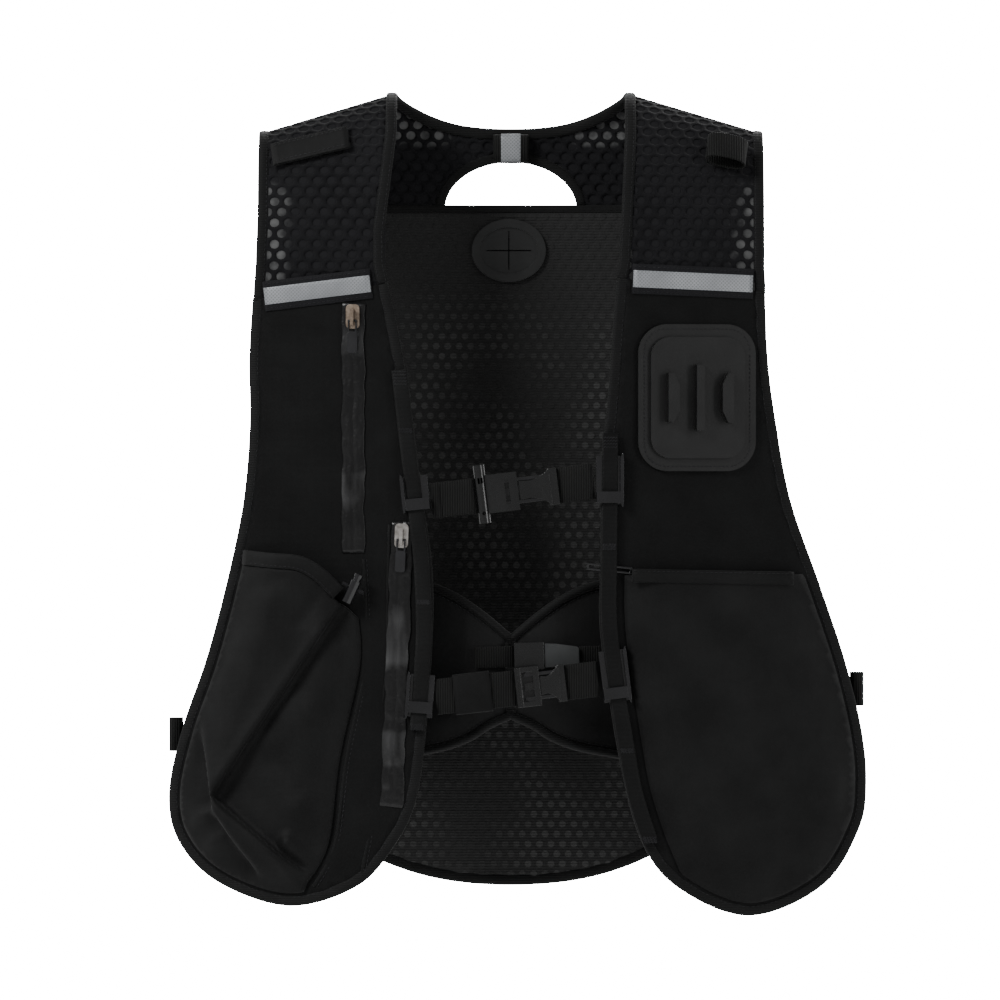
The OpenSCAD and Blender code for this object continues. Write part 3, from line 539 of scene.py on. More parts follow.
def knit(name, dark, light, course_mm, depth_mm, rough, sheen):
    """A knitted or woven face: two crossed sets of fine ribs, with cloudy variation."""
    m, nt, b = material(name, light, rough, sheen=sheen, spec=0.12)
    v = coords(nt)
    ribs = plus(nt, wave(nt, v, course_mm, "X", 0.6), wave(nt, v, course_mm, "Z", 0.6))
    bump(nt, b, plus(nt, ribs, noise(nt, v, 900, 2)), depth_mm, 0.7)
    tint(nt, b, noise(nt, v, 28, 4), dark, light)
    vary_rough(nt, b, noise(nt, v, 60), rough - 0.12, min(1, rough + 0.1))
    return m


def ribbed(name, dark, light, rib_mm, direction, depth_mm, sheen, rough=0.6, turn=0.0):
    """Webbing or binding: ribs across the tape with a fine twill in them."""
    m, nt, b = material(name, light, rough, sheen=sheen, spec=0.11)
    v = coords(nt, turn)
    ribs = wave(nt, v, rib_mm, direction, 0.15)
    bump(nt, b, plus(nt, ribs, times(nt, noise(nt, v, 1400, 2), 0.5)), depth_mm, 0.8)
    tint(nt, b, times(nt, plus(nt, noise(nt, v, 45), ribs), 0.5), dark, light)
    return m


def plastic(name, dark, light, rough, coat=0.0, grain=0.06):
    m, nt, b = material(name, light, rough, coat=coat, spec=0.34)
    v = coords(nt)
    bump(nt, b, noise(nt, v, 700), grain, 0.5)
    tint(nt, b, noise(nt, v, 50, 4), dark, light)
    vary_rough(nt, b, noise(nt, v, 90, 4), max(0.05, rough - 0.08), rough + 0.12)
    return m


def metal(name, dark, light, rough):
    m, nt, b = material(name, light, rough, metallic=1.0)
    v = coords(nt)
    tint(nt, b, noise(nt, v, 260, 5), dark, light)
    vary_rough(nt, b, noise(nt, v, 500, 4), rough - 0.1, rough + 0.2)
    bump(nt, b, noise(nt, v, 900), 0.05, 0.5)
    return m


def hex_dots(nt):
    """1 on the round cells of the mesh (rows 7.1 mm apart, cells 8.2 mm apart in a row), 0 between them."""
    at = axes(nt)
    total = None
    for kx, kz in ((122.0, -70.4), (0.0, 140.8), (122.0, 70.4)):  # waves a metre, along X and Z
        turn = plus(nt, times(nt, at["X"], 2 * math.pi * kx), times(nt, at["Z"], 2 * math.pi * kz))
        cosine = calc(nt, "COSINE", turn)
        total = cosine if total is None else plus(nt, total, cosine)
    return remap(nt, total, -0.5, 1.1, kind="SMOOTHSTEP")


def make_spacer():
    """Padded mesh whose dots are painted paler in patches, a painted light on its cells that fades out towards its
    top.
    """
    m, nt, b = material("spacer_mesh", (0.008, 0.008, 0.009), 0.8, sheen=0.04, spec=0.15)
    v = coords(nt)
    dots = hex_dots(nt)
    rib = wave(nt, v, 2.0, "Z", 0.5)
    bump(nt, b, plus(nt, plus(nt, rib, noise(nt, v, 800, 2)), times(nt, dots, 1.2)), 0.35, 0.8)
    # painted light on the mesh's cells: in patches, and less of it towards the top
    patch = remap(nt, noise(nt, v, 14), 0.32, 0.58)
    low = remap(nt, axes(nt)["Z"], -0.09, -0.16, 0.12)
    lit = times(nt, times(nt, dots, patch), low)
    mix = plus(nt, times(nt, lit, 0.7), times(nt, rib, 0.2))
    tint(nt, b, mix, (0.0185, 0.0187, 0.0186), (0.043, 0.0435, 0.043))
    return m


def make_backing(name, x_range, z_range):
    """The fine inner net behind the holes: paler where light comes through it."""
    m, nt, b = material(name, (0.01, 0.01, 0.011), 0.8, sheen=0.03, spec=0.1)
    v = coords(nt)
    bump(nt, b, noise(nt, v, 1500, 2), 0.1, 0.6)
    at = axes(nt)
    side = remap(nt, calc(nt, "ABSOLUTE", at["X"]), *x_range, kind="SMOOTHSTEP")
    level = remap(nt, at["Z"], *z_range, kind="SMOOTHSTEP")
    light = times(nt, times(nt, side, level), times(nt, noise(nt, v, 90), 1.3))
    tint(nt, b, light, (0.0085, 0.0085, 0.0095), (0.085, 0.086, 0.086))
    return m


def make_film():
    """Creased glossy film: dark, with paler stretches of painted highlight, set by height and broken into cloudy
    patches.
    """
    m, nt, b = material("zip_film", (0.02, 0.02, 0.022), 0.3, coat=0.12, spec=0.3)
    v = coords(nt)
    crinkle = noise(nt, coords(nt, scale=(1, 1, 0.6)), 95, 2)
    bump(nt, b, plus(nt, crinkle, times(nt, noise(nt, v, 400, 2), 0.2)), 2.2, 0.7)
    # the painted highlights' stops, by height
    ramp = shader(nt, "ValToRGB", {"Fac": remap(nt, axes(nt)["Z"], FILM_TOP, FILM_END)})
    stops = ramp.color_ramp.elements
    while len(stops) < len(FILM_PAINTED_SHEEN):
        stops.new(1.0)
    for stop, (at, value) in zip(stops, FILM_PAINTED_SHEEN):
        stop.position = at
        stop.color = (value, value, value, 1)
    # cloudy patches that break up the painted highlights
    cloud = remap(nt, noise(nt, coords(nt, scale=(1.6, 1, 0.35)), 60, 2), 0.2, 0.75, 0.4)
    tint(nt, b, times(nt, ramp.outputs["Color"], cloud), (0.002, 0.002, 0.0022), (0.085, 0.0855, 0.087))
    vary_rough(nt, b, noise(nt, v, 60), 0.2, 0.45)
    return m


def make_reflective():
    m, nt, b = material("reflective", (0.5, 0.51, 0.54), 0.45, metallic=0.35)
    v = coords(nt, math.radians(45))
    grid = calc(nt, "MAXIMUM", wave(nt, v, 1.8, "X"), wave(nt, v, 1.8, "Z"))
    bump(nt, b, grid, 0.15, 0.6)
    tint(nt, b, times(nt, grid, noise(nt, v, 35)), (0.17, 0.178, 0.187), (0.32, 0.33, 0.345))
    return m


BACKING_FRONT = make_backing("mesh_backing_front", (0.140, 0.170), (-0.02, -0.05))
BACKING_BACK = make_backing("mesh_backing_back", (0.034, 0.05), (-0.014, 0.0))
SPACER = make_spacer()
FILM = make_film()
REFLECT = make_reflective()

MESH = knit("hex_mesh", (0.0028, 0.0028, 0.0035), (0.0065, 0.0065, 0.0075), 0.9, 0.12, 0.85, 0.06)
NEO = knit("neoprene", (0.0018, 0.0019, 0.0019), (0.0058, 0.006, 0.006), 0.8, 0.08, 0.6, 0.05)
PANEL = knit("panel_neoprene", (0.0007, 0.0008, 0.0008), (0.0028, 0.003, 0.003), 0.8, 0.08, 0.66, 0.03)
WING = knit("wing_neoprene", (0.003, 0.0031, 0.0031), (0.0084, 0.0086, 0.0086), 0.8, 0.08, 0.6, 0.06)
SHELL = knit("shell_fabric", (0.003, 0.0031, 0.0031), (0.0078, 0.008, 0.008), 0.6, 0.1, 0.6, 0.06)
THREAD = knit("thread", (0.009, 0.009, 0.010), (0.020, 0.020, 0.022), 0.5, 0.05, 0.5, 0.05)

BINDING = ribbed("binding", (0.0025, 0.0026, 0.0026), (0.007, 0.0072, 0.0072), 1.2, "Z", 0.2, 0.05)
WEB = ribbed("webbing", (0.0012, 0.0013, 0.0012), (0.0075, 0.0078, 0.0073), 1.7, "X", 0.35, 0.05)
RAIL = ribbed("rail_webbing", (0.0014, 0.0015, 0.0015), (0.0058, 0.006, 0.006), 0.9, "Z", 0.12, 0.04, rough=0.46)
TAPE = ribbed("seam_tape", (0.004, 0.004, 0.005), (0.009, 0.009, 0.0105), 1.0, "X", 0.1, 0.05)
CORD = ribbed("cord", (0.005, 0.005, 0.006), (0.011, 0.011, 0.012), 0.8, "X", 0.15, 0.05, turn=0.4)

BLACK = (0.0025, 0.0026, 0.0026), (0.0055, 0.0057, 0.0057)
PLASTIC = plastic("moulded_plastic", *BLACK, 0.24, coat=0.4, grain=0.015)
GLOSS = plastic("gloss_fitting", (0.003, 0.003, 0.0036), (0.007, 0.007, 0.008), 0.16, coat=0.6, grain=0.03)
GREY = plastic("grey_plastic", (0.02, 0.0212, 0.0215), (0.034, 0.036, 0.0365), 0.42)
PORT = plastic("port_rubber", (0.0098, 0.0102, 0.0102), (0.0155, 0.0162, 0.0162), 0.42, grain=0.1)
RUBBER = plastic("rubber", (0.0026, 0.0027, 0.0027), BLACK[1], 0.42, grain=0.1)
PULL = plastic("pull_tab", (0.008, 0.008, 0.009), (0.016, 0.016, 0.018), 0.36)
BRONZE = metal("zip_bronze", (0.16, 0.12, 0.09), (0.42, 0.34, 0.27), 0.34)
NICKEL = metal("zip_silver", (0.28, 0.26, 0.24), (0.62, 0.60, 0.57), 0.3)
STEEL = metal("spring_steel", (0.35, 0.35, 0.36), (0.6, 0.6, 0.62), 0.3)

MATS = {
    "port_grommet": PORT, "lamp_mount": RUBBER, "chest_zip_slider": BRONZE, "chest_zip_pull": PULL,
    "edge_zip_slider": NICKEL, "edge_zip_pull": PULL, "cord_lock": GLOSS, "cord_lock_button": GLOSS,
    "pocket_pull_loop": GLOSS, "upper_clips": GLOSS, "lower_clips": GLOSS,
    "upper_socket": PLASTIC, "upper_plug": PLASTIC, "upper_prong_top": GLOSS, "upper_prong_bottom": GLOSS,
    "lower_socket": PLASTIC, "lower_plug": PLASTIC, "lower_prong_top": GLOSS, "lower_prong_bottom": GLOSS,
    "belt_socket": PLASTIC, "belt_plug": GREY,
}
for name, mat in MATS.items():
    o = NODES[name]
    o.data.materials.clear()
    o.data.materials.append(mat)
    w = o.modifiers.new("weld", "WELD")
    w.merge_threshold = 0.00002
    bv = o.modifiers.new("edge", "BEVEL")
    bv.width = 0.0006 if name == "lamp_mount" else 0.00035
    bv.segments = 3
    bv.limit_method = "ANGLE"
    bv.angle_limit = math.radians(28)
    bv.use_clamp_overlap = True
    o.data.shade_smooth()
    wn = o.modifiers.new("normals", "WEIGHTED_NORMAL")
    wn.keep_sharp = True


# ---- folds of the cloth
def fold(p, a, b, width, amp, ends=0.25):
    """A soft ridge, or a valley where amp is negative, along the line from a to b."""
    a, b = np.array(a, float), np.array(b, float)
    d = b - a
    ll = np.linalg.norm(d)
    t = ((p - a) @ d) / ll ** 2
    n = np.array([-d[1], d[0]]) / ll
    s = (p - a) @ n
    return amp * np.exp(-(s / width) ** 2) * smooth(0, ends, t) * (1 - smooth(1 - ends, 1, t))


def drape(p, seed, amp=1.0):
    """Gentle uneven swells."""
    rng = random.Random(seed)
    out = np.zeros(len(p))
    for _ in range(7):
        w = rng.uniform(60, 150)
        a = rng.uniform(0, math.pi)
        ph = rng.uniform(0, 6.28)
        along = p[:, 0] * math.cos(a) + p[:, 1] * math.sin(a)
        out += np.sin(along * 2 * math.pi / w + ph) * rng.uniform(0.3, 1)
    return out * amp / 3.0


def area_of(verts, faces):
    v = np.asarray(verts) / 1000
    t = []
    for f in faces:
        for k in range(1, len(f) - 1):
            t.append((f[0], f[k], f[k + 1]))
    t = np.array(t)
    return float(np.linalg.norm(np.cross(v[t[:, 1]] - v[t[:, 0]], v[t[:, 2]] - v[t[:, 0]]), axis=1).sum() / 2)


def declare_sheet(obj, verts, faces, w, h, held="hung", rests=(), net=1.0):
    """net is how much larger the cloth's outline is than its threads, for a mesh with holes."""
    a = area_of(verts, faces) * net
    w, h = w / 1000, h / 1000
    if a > w * h:
        k = math.sqrt(a / (w * h)) * 1.001
        w, h = w * k, h * k


def cloth(name, pts, faces, d, mat, node, slot, thick, held, rests, surface=on_front):
    """A sheet over flat points, each d out from the surface."""
    verts = [surface(x, z, dd) for (x, z), dd in zip(pts, d)]
    obj = make(name, verts, faces, mat, node, slot, thick=thick)
    declare_sheet(obj, verts, faces, np.ptp(pts[:, 0]), np.ptp(pts[:, 1]), held, [rests])


# ---- front panels
def panel(side, edge, seed, folds):
    out = shifted(curve(edge), BIND_IN)
    pts, faces = fill(out, 5.0)
    swell = drape(pts, seed, 0.5) + sum(fold(pts, *f) for f in folds)
    d = PANEL_T + swell * smooth(0, 22, dist_to(pts, out, True))
    cloth(side + "_panel", pts, faces, d, PANEL, side + "_front", "neoprene", 2.4, "hung", side + "_shoulder_mesh")


right_folds = [
    ((-150, -180), (-120, -280), 18, 1.0), ((-90, -300), (-70, -420), 9, -0.8),
    ((-95, -330), (-95, -470), 12, 0.9), ((-80, -460), (-140, -530), 9, 1.2),
]
left_folds = [
    ((120, -260), (190, -300), 16, 0.8), ((90, -260), (150, -300), 10, -0.6),
]
panel("right", RIGHT_EDGE, 3, right_folds)
panel("left", LEFT_EDGE, 8, left_folds)


def edge_binding(name, line2d, surf, norm, t_sheet, node):
    """The folded tape over a panel's edge, with its row of stitches."""
    p = even(line2d, 5.0)
    mid = shifted(p, BIND_W / 2)
    path = np.array([surf(x, z, t_sheet / 2) for x, z in mid])
    nn = np.array([norm(x) for x, z in mid])
    prof = round_band(BIND_W, t_sheet + 2 * PROUD)
    wob = np.array([0.12 * math.sin(i * 1.7) + 0.08 * math.sin(i * 0.61) for i in range(len(path))])
    profs = [[(u, w * (1 + wob[i])) for u, w in prof] for i in range(len(path))]
    v, f = sweep(path, nn, profs)
    obj = make(name, v, f, BINDING, node, "binding")
    inner = shifted(p, BIND_W - 1.6)
    sp = np.array([surf(x, z, t_sheet + PROUD - 0.45) for x, z in inner])
    sn = [norm(x) for x, z in inner]
    detail(name + "_stitches", stitches(sp, sn, 0.0), THREAD)
    return obj


edge_binding("right_edge_binding", curve(RIGHT_EDGE), on_front, front_n, PANEL_T, "right_front_binding")
edge_binding("left_edge_binding", curve(LEFT_EDGE), on_front, front_n, PANEL_T, "left_front_binding")
edge_binding("back_edge_binding", curve(BACK_EDGE), on_back, back_n, MESH_T, "back_binding")


# ---- back panel and its outer cover
back_line = shifted(curve(BACK_EDGE), BIND_IN)
pts, faces = fill(back_line, 5.5)
hole = ((pts[:, 0] + 1.4) / 17.5) ** 2 + ((pts[:, 1] + 81) / 13.5) ** 2 < 1
e = dist_to(pts, back_line, True)
d = 0.2 + drape(pts, 21, 0.5) * smooth(0, 25, e)
faces = [f for f in faces if not all(hole[i] for i in f)]
cloth("back_spacer_mesh", pts, faces, d, SPACER, "back_panel", "spacer_mesh", 3.2, "hung", "back_yoke_mesh", on_back)

shell_line = [(x, min(z, BACK_TOP - 8)) for x, z in shifted(curve(BACK_EDGE), BIND_W + 5)]
pts, faces = fill(shell_line, 6.0)
e = dist_to(pts, shell_line, True)
top_free = smooth(-60, -100, pts[:, 1])
at_side = smooth(-2, 34, 166 - np.abs(pts[:, 0])) ** 0.7
d = MESH_T + PROUD + COVER_BULGE * (smooth(-2, 34, e) ** 0.7 * top_free + (1 - top_free) * at_side)
d = d + drape(pts, 31, 0.9) * smooth(5, 40, e)
for x, amp in ((-1, 1.5), (1, 1.2)):
    d = d + fold(pts, (110 * x, -440), (30 * x, -500), 14, amp)
cloth("back_cover", pts, faces, d, SHELL, "back_shell", "shell_fabric", 1.2, "hung", "back_edge_binding", on_back)


# ---- shoulder mesh with real holes
PITCH_X, PITCH_S, HOLE_R = 10.0, 7.5, 3.5
NET_D, BACKING_D = 1.6, 1.7  # how far out the net and the sheet behind it lie
FAIR_NET = 1.6  # the net's outline over the area of its threads


TURNS = np.linspace(0, 90, 31)


def arch_table(arch, x):
    """How far along the arch each of TURNS lies."""
    return run_length([arch(x, t, 0) for t in TURNS])


def front_point(x, s, d, straight=on_front, arch=front_arch, base=F0):
    """A point at run s above the height where the front starts to lean. Below that it runs straight down."""
    if s <= 0:
        return straight(x, base + s, d)
    return arch(x, float(np.interp(s, arch_table(arch, x), TURNS)), d)


def back_point(x, s, d):
    return front_point(x, s, d, on_back, back_arch, B0)


HALF, THIRD = PITCH_X / 2, PITCH_S / 3
CORNERS = np.array([(HALF, -THIRD), (HALF, THIRD), (0, 2 * THIRD), (-HALF, THIRD), (-HALF, -THIRD), (0, -2 * THIRD)])
CELL = [q for a, b in zip(CORNERS, np.roll(CORNERS, -1, axis=0)) for q in (a, (a + b) / 2)]
HOLE = [(HOLE_R * math.cos(g), HOLE_R * 0.93 * math.sin(g)) for g in (math.atan2(q[1], q[0]) for q in CELL)]
MIN_FACE = 4e-8  # square metres: smaller faces, where cells are cut at an edge, are left out


def net(name, node, x_range, s_range, keep, clamp, point, flat, rests):
    """A net of round holes: each cell is a ring between its hole and its six-sided edge."""
    vs, fs, index = [], [], {}

    def vert(x, s):
        x, s = clamp(x, s)
        key = (round(x, 2), round(s, 2))
        if key not in index:
            index[key] = len(vs)
            vs.append(point(x, s, NET_D))
        return index[key]

    row, s = 0, s_range[0]
    while s <= s_range[1]:
        x = x_range[0] + (row % 2) * PITCH_X / 2
        while x <= x_range[1]:
            if keep(x, s):
                edge, hole = ([vert(x + u, s + w) for u, w in ring] for ring in (CELL, HOLE))
                for k in range(12):
                    q = list(dict.fromkeys([edge[k], edge[(k + 1) % 12], hole[(k + 1) % 12], hole[k]]))
                    if len(q) > 2 and area_of([vs[i] for i in q], [list(range(len(q)))]) > MIN_FACE:
                        fs.append(q)
            x += PITCH_X
        s += PITCH_S
        row += 1
    obj = make(name, vs, fs, MESH, node, "hex_mesh", thick=1.5, offset=0, even_wall=False)
    declare_sheet(obj, vs, fs, *flat, "stretched", [rests], net=FAIR_NET)


def shoulder(side, name, node):
    def span(x, s):
        z = front_point(max(min(x, 172), -172), s, 0)[2]
        a, b = yoke_inner(side, z), yoke_outer(side, z)
        return min(a, b) - 5.5, max(a, b) + 5.5

    def end(x):
        return arch_table(front_arch, x)[-1]

    def keep(x, s):
        lo, hi = span(x, s)
        return lo - 4 < x < hi + 4 and s < end(max(lo, min(hi, x))) + 6 and F0 + s > seam_z(x) - 14

    def clamp(x, s):
        lo, hi = span(x, min(s, 140))
        x = max(lo, min(hi, x))
        return x, max(min(s, end(x)), seam_z(x) - 7 - F0)

    net(name, node, (-181, -78) if side < 0 else (76, 181), (-32.0, 175.0), keep, clamp, front_point, (84, 150),
        "back_yoke_mesh")


def backing(name, xs, low, high, point, mat):
    """A closely woven sheet behind the holes, on the same surface."""
    rows = 26
    vs = []
    for x in xs:
        a, b = low(x), high(x)
        vs += [point(x, a + (b - a) * k / rows, BACKING_D) for k in range(rows + 1)]
    m = rows + 1
    fs = [[i + k, i + m + k, i + m + k + 1, i + k + 1] for i in range(0, (len(xs) - 1) * m, m) for k in range(rows)]
    obj = piece(name, vs, fs, mat, "vest", "hex_mesh")
    thicken(obj, 0.3)
    declare_sheet(obj, vs, fs, np.ptp([v[0] for v in vs]), 150, "stretched", ["back_edge_binding"])


for name, cols in (("right", np.linspace(-172.5, -88, 22)), ("left", np.linspace(85, 172.5, 22))):
    backing(name + "_mesh_backing", cols, lambda x: seam_z(x) - 6 - F0, lambda x: arch_table(front_arch, x)[-1] - 0.6,
            front_point, BACKING_FRONT)
shoulder(-1, "right_shoulder_mesh", "right_yoke")
shoulder(1, "left_shoulder_mesh", "left_yoke")


def vent_low(x):
    """The height of the back yoke's lower edge."""
    if abs(x) >= VENT_X:
        return VENT_Z - 4.5
    return VENT_Z + VENT_RISE * math.sqrt(1 - (x / VENT_X) ** 2)


def back_run(x, z):
    """How far along the back a height lies."""
    if z <= B0:
        return z - B0
    return float(np.interp(z, [back_arch(x, t, 0)[2] for t in TURNS], arch_table(back_arch, x)))


def back_end(x):
    top = arch_table(back_arch, x)[-1]
    return top if abs(x) > 88 else top * 0.97 - 5 * (1 - lean(x))


def back_keep(x, s):
    if abs(x) > YOKE_END + 6:
        return False
    near = max(-YOKE_END, min(YOKE_END, x))
    if abs(x) < 49 and back_point(near, s, 0)[2] < vent_low(x) - 2.5:
        return False
    return -8 < s < back_end(near) + 5


def back_clamp(x, s):
    x = max(-YOKE_END - 0.3, min(YOKE_END + 0.3, x))
    s = min(s, back_end(x))
    low = vent_low(x)
    return x, (back_run(x, low) if back_point(x, s, 0)[2] < low else s)


net("back_yoke_mesh", "back_yoke", (-181.3, 181.3), (-9.0, 110.0), back_keep, back_clamp, back_point, (350, 75),
    "hang_tab")
cols = np.concatenate([np.linspace(-173, -52, 34), np.linspace(-50.3, 50.3, 41), np.linspace(52, 173, 34)])
backing("back_mesh_backing", cols, lambda x: back_run(x, vent_low(x)), lambda x: back_end(x) - 1.0, back_point,
        BACKING_BACK)

# the rolled edge of the half-moon vent
vent_path, vent_n = [], []
for k in range(33):
    a = math.pi * (0.02 + 0.96 * k / 32)
    x = -VENT_X * math.cos(a)
    z = VENT_Z + VENT_RISE * math.sin(a)
    t = float(np.interp(z, [back_arch(x, q, 0)[2] for q in TURNS], TURNS))
    vent_path.append(back_arch(x, t, 1.8))
    vent_n.append(back_n(x))
top_x = np.linspace(-176, 176, 60)
top_edge = [on_back(x, VENT_Z, NET_D) for x in top_x]
top_edge = sweep(top_edge, [back_n(x) for x in top_x], tape(6.0, 4.2, 0.3, out=-1.9))
detail("vent_edge", [sweep(vent_path, vent_n, tape(7.0, 3.4, 0.4, out=-1.7)), top_edge], BINDING)


# ---- neck and armhole bindings
def front_normal(x, t):
    a, h = (1 - SHARE) * depth(x), top_z(x) - F0
    return unit((0, -h * math.cos(math.radians(t)), a * math.sin(math.radians(t))))


def back_normal(x, t):
    a, h = SHARE * depth(x), top_z(x) - B0
    return unit((0, h * math.cos(math.radians(t)), a * math.sin(math.radians(t))))


STEPS = list(range(0, 81, 8))
MID = PANEL_T / 2


def arch_height(x, t):
    return F0 + (top_z(x) - F0) * math.sin(math.radians(t))


def neck_front(s):
    path, nn = [], []
    for z in ((-107, -99, -92) if s < 0 else (-104, -98, -92)):
        x = yoke_inner(s, z) - s * (BIND_W / 2 + 0.3) - s * (3.0 if z < -100 else 1.0 if z < -95 else 0)
        path.append((x, front_y(x) - MID, z))
        nn.append(front_normal(s * NECK_HALF, 0))
    for t in STEPS + [86]:
        z = arch_height(s * NECK_HALF, t)
        x = yoke_inner(s, z) - s * (BIND_W / 2 + 0.3)
        path.append(front_arch(x, t, MID))
        nn.append(front_normal(s * NECK_HALF, t))
    return path, nn


neck_path, neck_n = neck_front(-1)
xs = [84, 82.6, 80, 76, 70, 62, 52, 40, 27, 13]
for x in [-q for q in xs] + [0] + xs[::-1]:
    le = lean(x)
    y = back_y(x) - le * SHARE * depth(x) + MID * (1 - le)
    neck_path.append((x, y, top_z(x) + MID * le - BIND_W / 2 * (1 - le)))
    neck_n.append((0, math.cos(math.pi / 2 * le), math.sin(math.pi / 2 * le)))
p2, n2 = neck_front(1)
neck_path += p2[::-1]
neck_n += n2[::-1]


def smooth_path(path, nn, step=4.0):
    both = np.hstack([np.array(path, float), np.array(nn, float)])
    c = curve(both, 5)
    s = run_length(c[:, :3])
    at = np.linspace(0, s[-1], max(3, int(s[-1] / step)))
    c = np.stack([np.interp(at, s, c[:, k]) for k in range(6)], 1)
    return c[:, :3], np.array([unit(v) for v in c[:, 3:]])


BAND = round_band(BIND_W, 2 * MID + 2 * PROUD)
BAND_TOP = MID + PROUD - 0.2
p, n = smooth_path(neck_path, neck_n)
make("neck_edge_binding", *sweep(p, n, BAND), BINDING, "neck_binding", "binding")
detail("neck_stitches", stitches(p, n, BAND_TOP, across=2.3) + stitches(p, n, BAND_TOP, across=-2.3), THREAD)

arm_parts, arm_st = [], []
for s in (-1, 1):
    path, nn = [], []
    for z in ((-119, -113, -97) if s < 0 else (-114, -108, -97)):
        x = yoke_outer(s, z) + s * (BIND_W / 2 + 0.3 + (0.7 if z < -105 else 0))
        path.append((x, front_y(x) - MID, z))
        nn.append(front_normal(s * YOKE_X, 0))
    for t in STEPS:
        x = yoke_outer(s, arch_height(s * YOKE_X, t)) + s * (BIND_W / 2 + 0.3)
        path.append(front_arch(x, t, MID))
        nn.append(front_normal(s * YOKE_X, t))
    x = yoke_outer(s, 0) + s * (BIND_W / 2 + 0.3)
    for t in [90] + STEPS[::-1]:
        path.append(back_arch(x, t, MID))
        nn.append(back_normal(s * YOKE_X, t))
    p, n = smooth_path(path, nn)
    arm_parts.append(sweep(p, n, BAND))
    arm_st += stitches(p, n, BAND_TOP, across=2.2 * s)
make("armhole_edge_bindings", *join(arm_parts), BINDING, "armhole_bindings", "binding")
detail("armhole_stitches", arm_st, THREAD)


# ---- tapes and reflective strips
def seam_strip(x1, x2, w, d, t, step=4.0):
    xs = np.linspace(x1, x2, int((x2 - x1) / step) + 1)
    path, nn = over_front([(x, seam_z(x)) for x in xs], d + 0.25 * np.sin(xs * 0.09) ** 2)
    return sweep(path, nn, tape(w, t, 0.15)), path, nn


tapes, marks, tape_st = [], [], []
for x1, x2 in ((-172.6, -97.4), (84.5, 169.2)):
    g, path, nn = seam_strip(x1, x2, 21, 3.3, 0.8)
    tapes.append(g)
    tape_st += stitches(path, nn, 0.95, across=8.6) + stitches(path, nn, 0.95, across=-8.6)
    marks.append(seam_strip(x1 + 0.6, x2 - 0.6, 12, 4.35, 0.5)[0])
make("yoke_seam_tapes", *join(tapes), TAPE, "seam_tapes", "seam_tape")
detail("seam_tape_stitches", tape_st, THREAD, "vest", "seam_tape")

# hang tab: one length of webbing down from the neck, clear of the mesh, and back to it
hang = [(2.6, 0.0), (-1.0, 0.5), (-3.6, -0.4), (-4.3, -4), (-4.4, -9), (-4.2, -14), (-2.6, -16.9), (0.6, -17.5),
        (2.8, -17.4)]
hc = curve([(0, y, z) for y, z in hang], 6)
g = np.gradient(hc, axis=0)
hn = [unit((0, q[2], -q[1])) for q in g]
make("hang_tab", *sweep(hc, hn, tape(25, 1.5, out=-0.2)), WEB, "hang_loop", "webbing")
mid = [i for i in range(len(hc)) if hc[i][1] < -1.6]
marks.append(sweep(hc[mid], [hn[i] for i in mid], tape(14, 0.5, 0.1, out=1.32)))
make("reflective_strips", *join(marks), REFLECT, "reflectors", "reflective")


# ---- bottle pocket
r_line = curve(RIGHT_EDGE)
rim = [p for p in shifted(r_line, BIND_W + 1) if p[1] < -300 and p[0] < -140]
side = curve(POCKET_SEAM[::-1])
mouth = curve(MOUTH)
outline = np.array(list(rim) + list(side) + list(shifted(mouth, -8))[::-1])
wall = np.array(list(rim) + list(side))
pts, faces = fill(outline, 2.5)
e = dist_to(pts, wall)
d0 = LAYER + 0.6
d = d0 + BOTTLE_BULGE * smooth(-3, 30, e) ** 0.75
d = d + smooth(-380, -500, pts[:, 1]) * 1.5 * smooth(4, 26, e)


def crease(p, a, b, drop, run, lip, tuck, ends=0.12):
    """Cloth that turns under along a line: how far it drops beside the line, and how far it moves in under it."""
    a, b = np.array(a, float), np.array(b, float)
    t = ((p - a) @ (b - a)) / ((b - a) @ (b - a))
    n = np.array([-(b - a)[1], (b - a)[0]]) / np.linalg.norm(b - a)
    q = (p - a) @ n
    out = -drop * smooth(-2.2, 3.0, q) * np.exp(-np.maximum(q, 0) / run)
    out = out + lip * np.exp(-((q + 3.5) / 4.5) ** 2) * (q < 2)
    end = smooth(-0.02, ends, t) * (1 - smooth(1 - ends, 1.05, t))
    under = tuck * smooth(-2.0, 3.0, q) * np.exp(-np.maximum(q - 2, 0) / 8) * end
    return out * end, -n[None, :] * under[:, None]


shape, move = np.zeros(len(pts)), np.zeros((len(pts), 2))
for line in [
    ((-111, -326), (-206, -468), 9.5, 46.0, 1.4, 3.0), ((-208, -464), (-138, -524), 8.5, 22.0, 1.4, 3.0),
    ((-205, -480), (-220, -402), 7.0, 11.0, 1.0, 2.0), ((-174, -524), (-206, -478), 6.5, 11.0, 1.0, 2.0),
]:
    out, sideways = crease(pts, *line)
    shape, move = shape + out, move + sideways
for line in [
    ((-160, -492), (-132, -518), 4.5, 6.0), ((-196, -345), (-214, -400), 14, 1.6),
    ((-120, -345), (-112, -420), 12, 1.5), ((-150, -310), (-190, -325), 7, -1.2),
    ((-126, -318), (-150, -352), 5, -1.6), ((-218, -508), (-194, -492), 5, 2.4),
    ((-135, -395), (-172, -438), 14, 1.6), ((-170, -432), (-140, -470), 12, -2.2),
]:
    shape = shape + fold(pts, *line)
inner = smooth(0, 14, e)
d = np.maximum(d + shape * inner, d0 + 0.4)
verts = [on_front(x + mx * k, z + mz * k, dd) for (x, z), dd, (mx, mz), k in zip(pts, d, move, inner)]
bottle = make("bottle_pocket_face", verts, faces, NEO, "bottle_pocket", "neoprene", thick=1.4)
declare_sheet(bottle, verts, faces, np.ptp(pts[:, 0]), np.ptp(pts[:, 1]), "stretched", ["right_panel"])

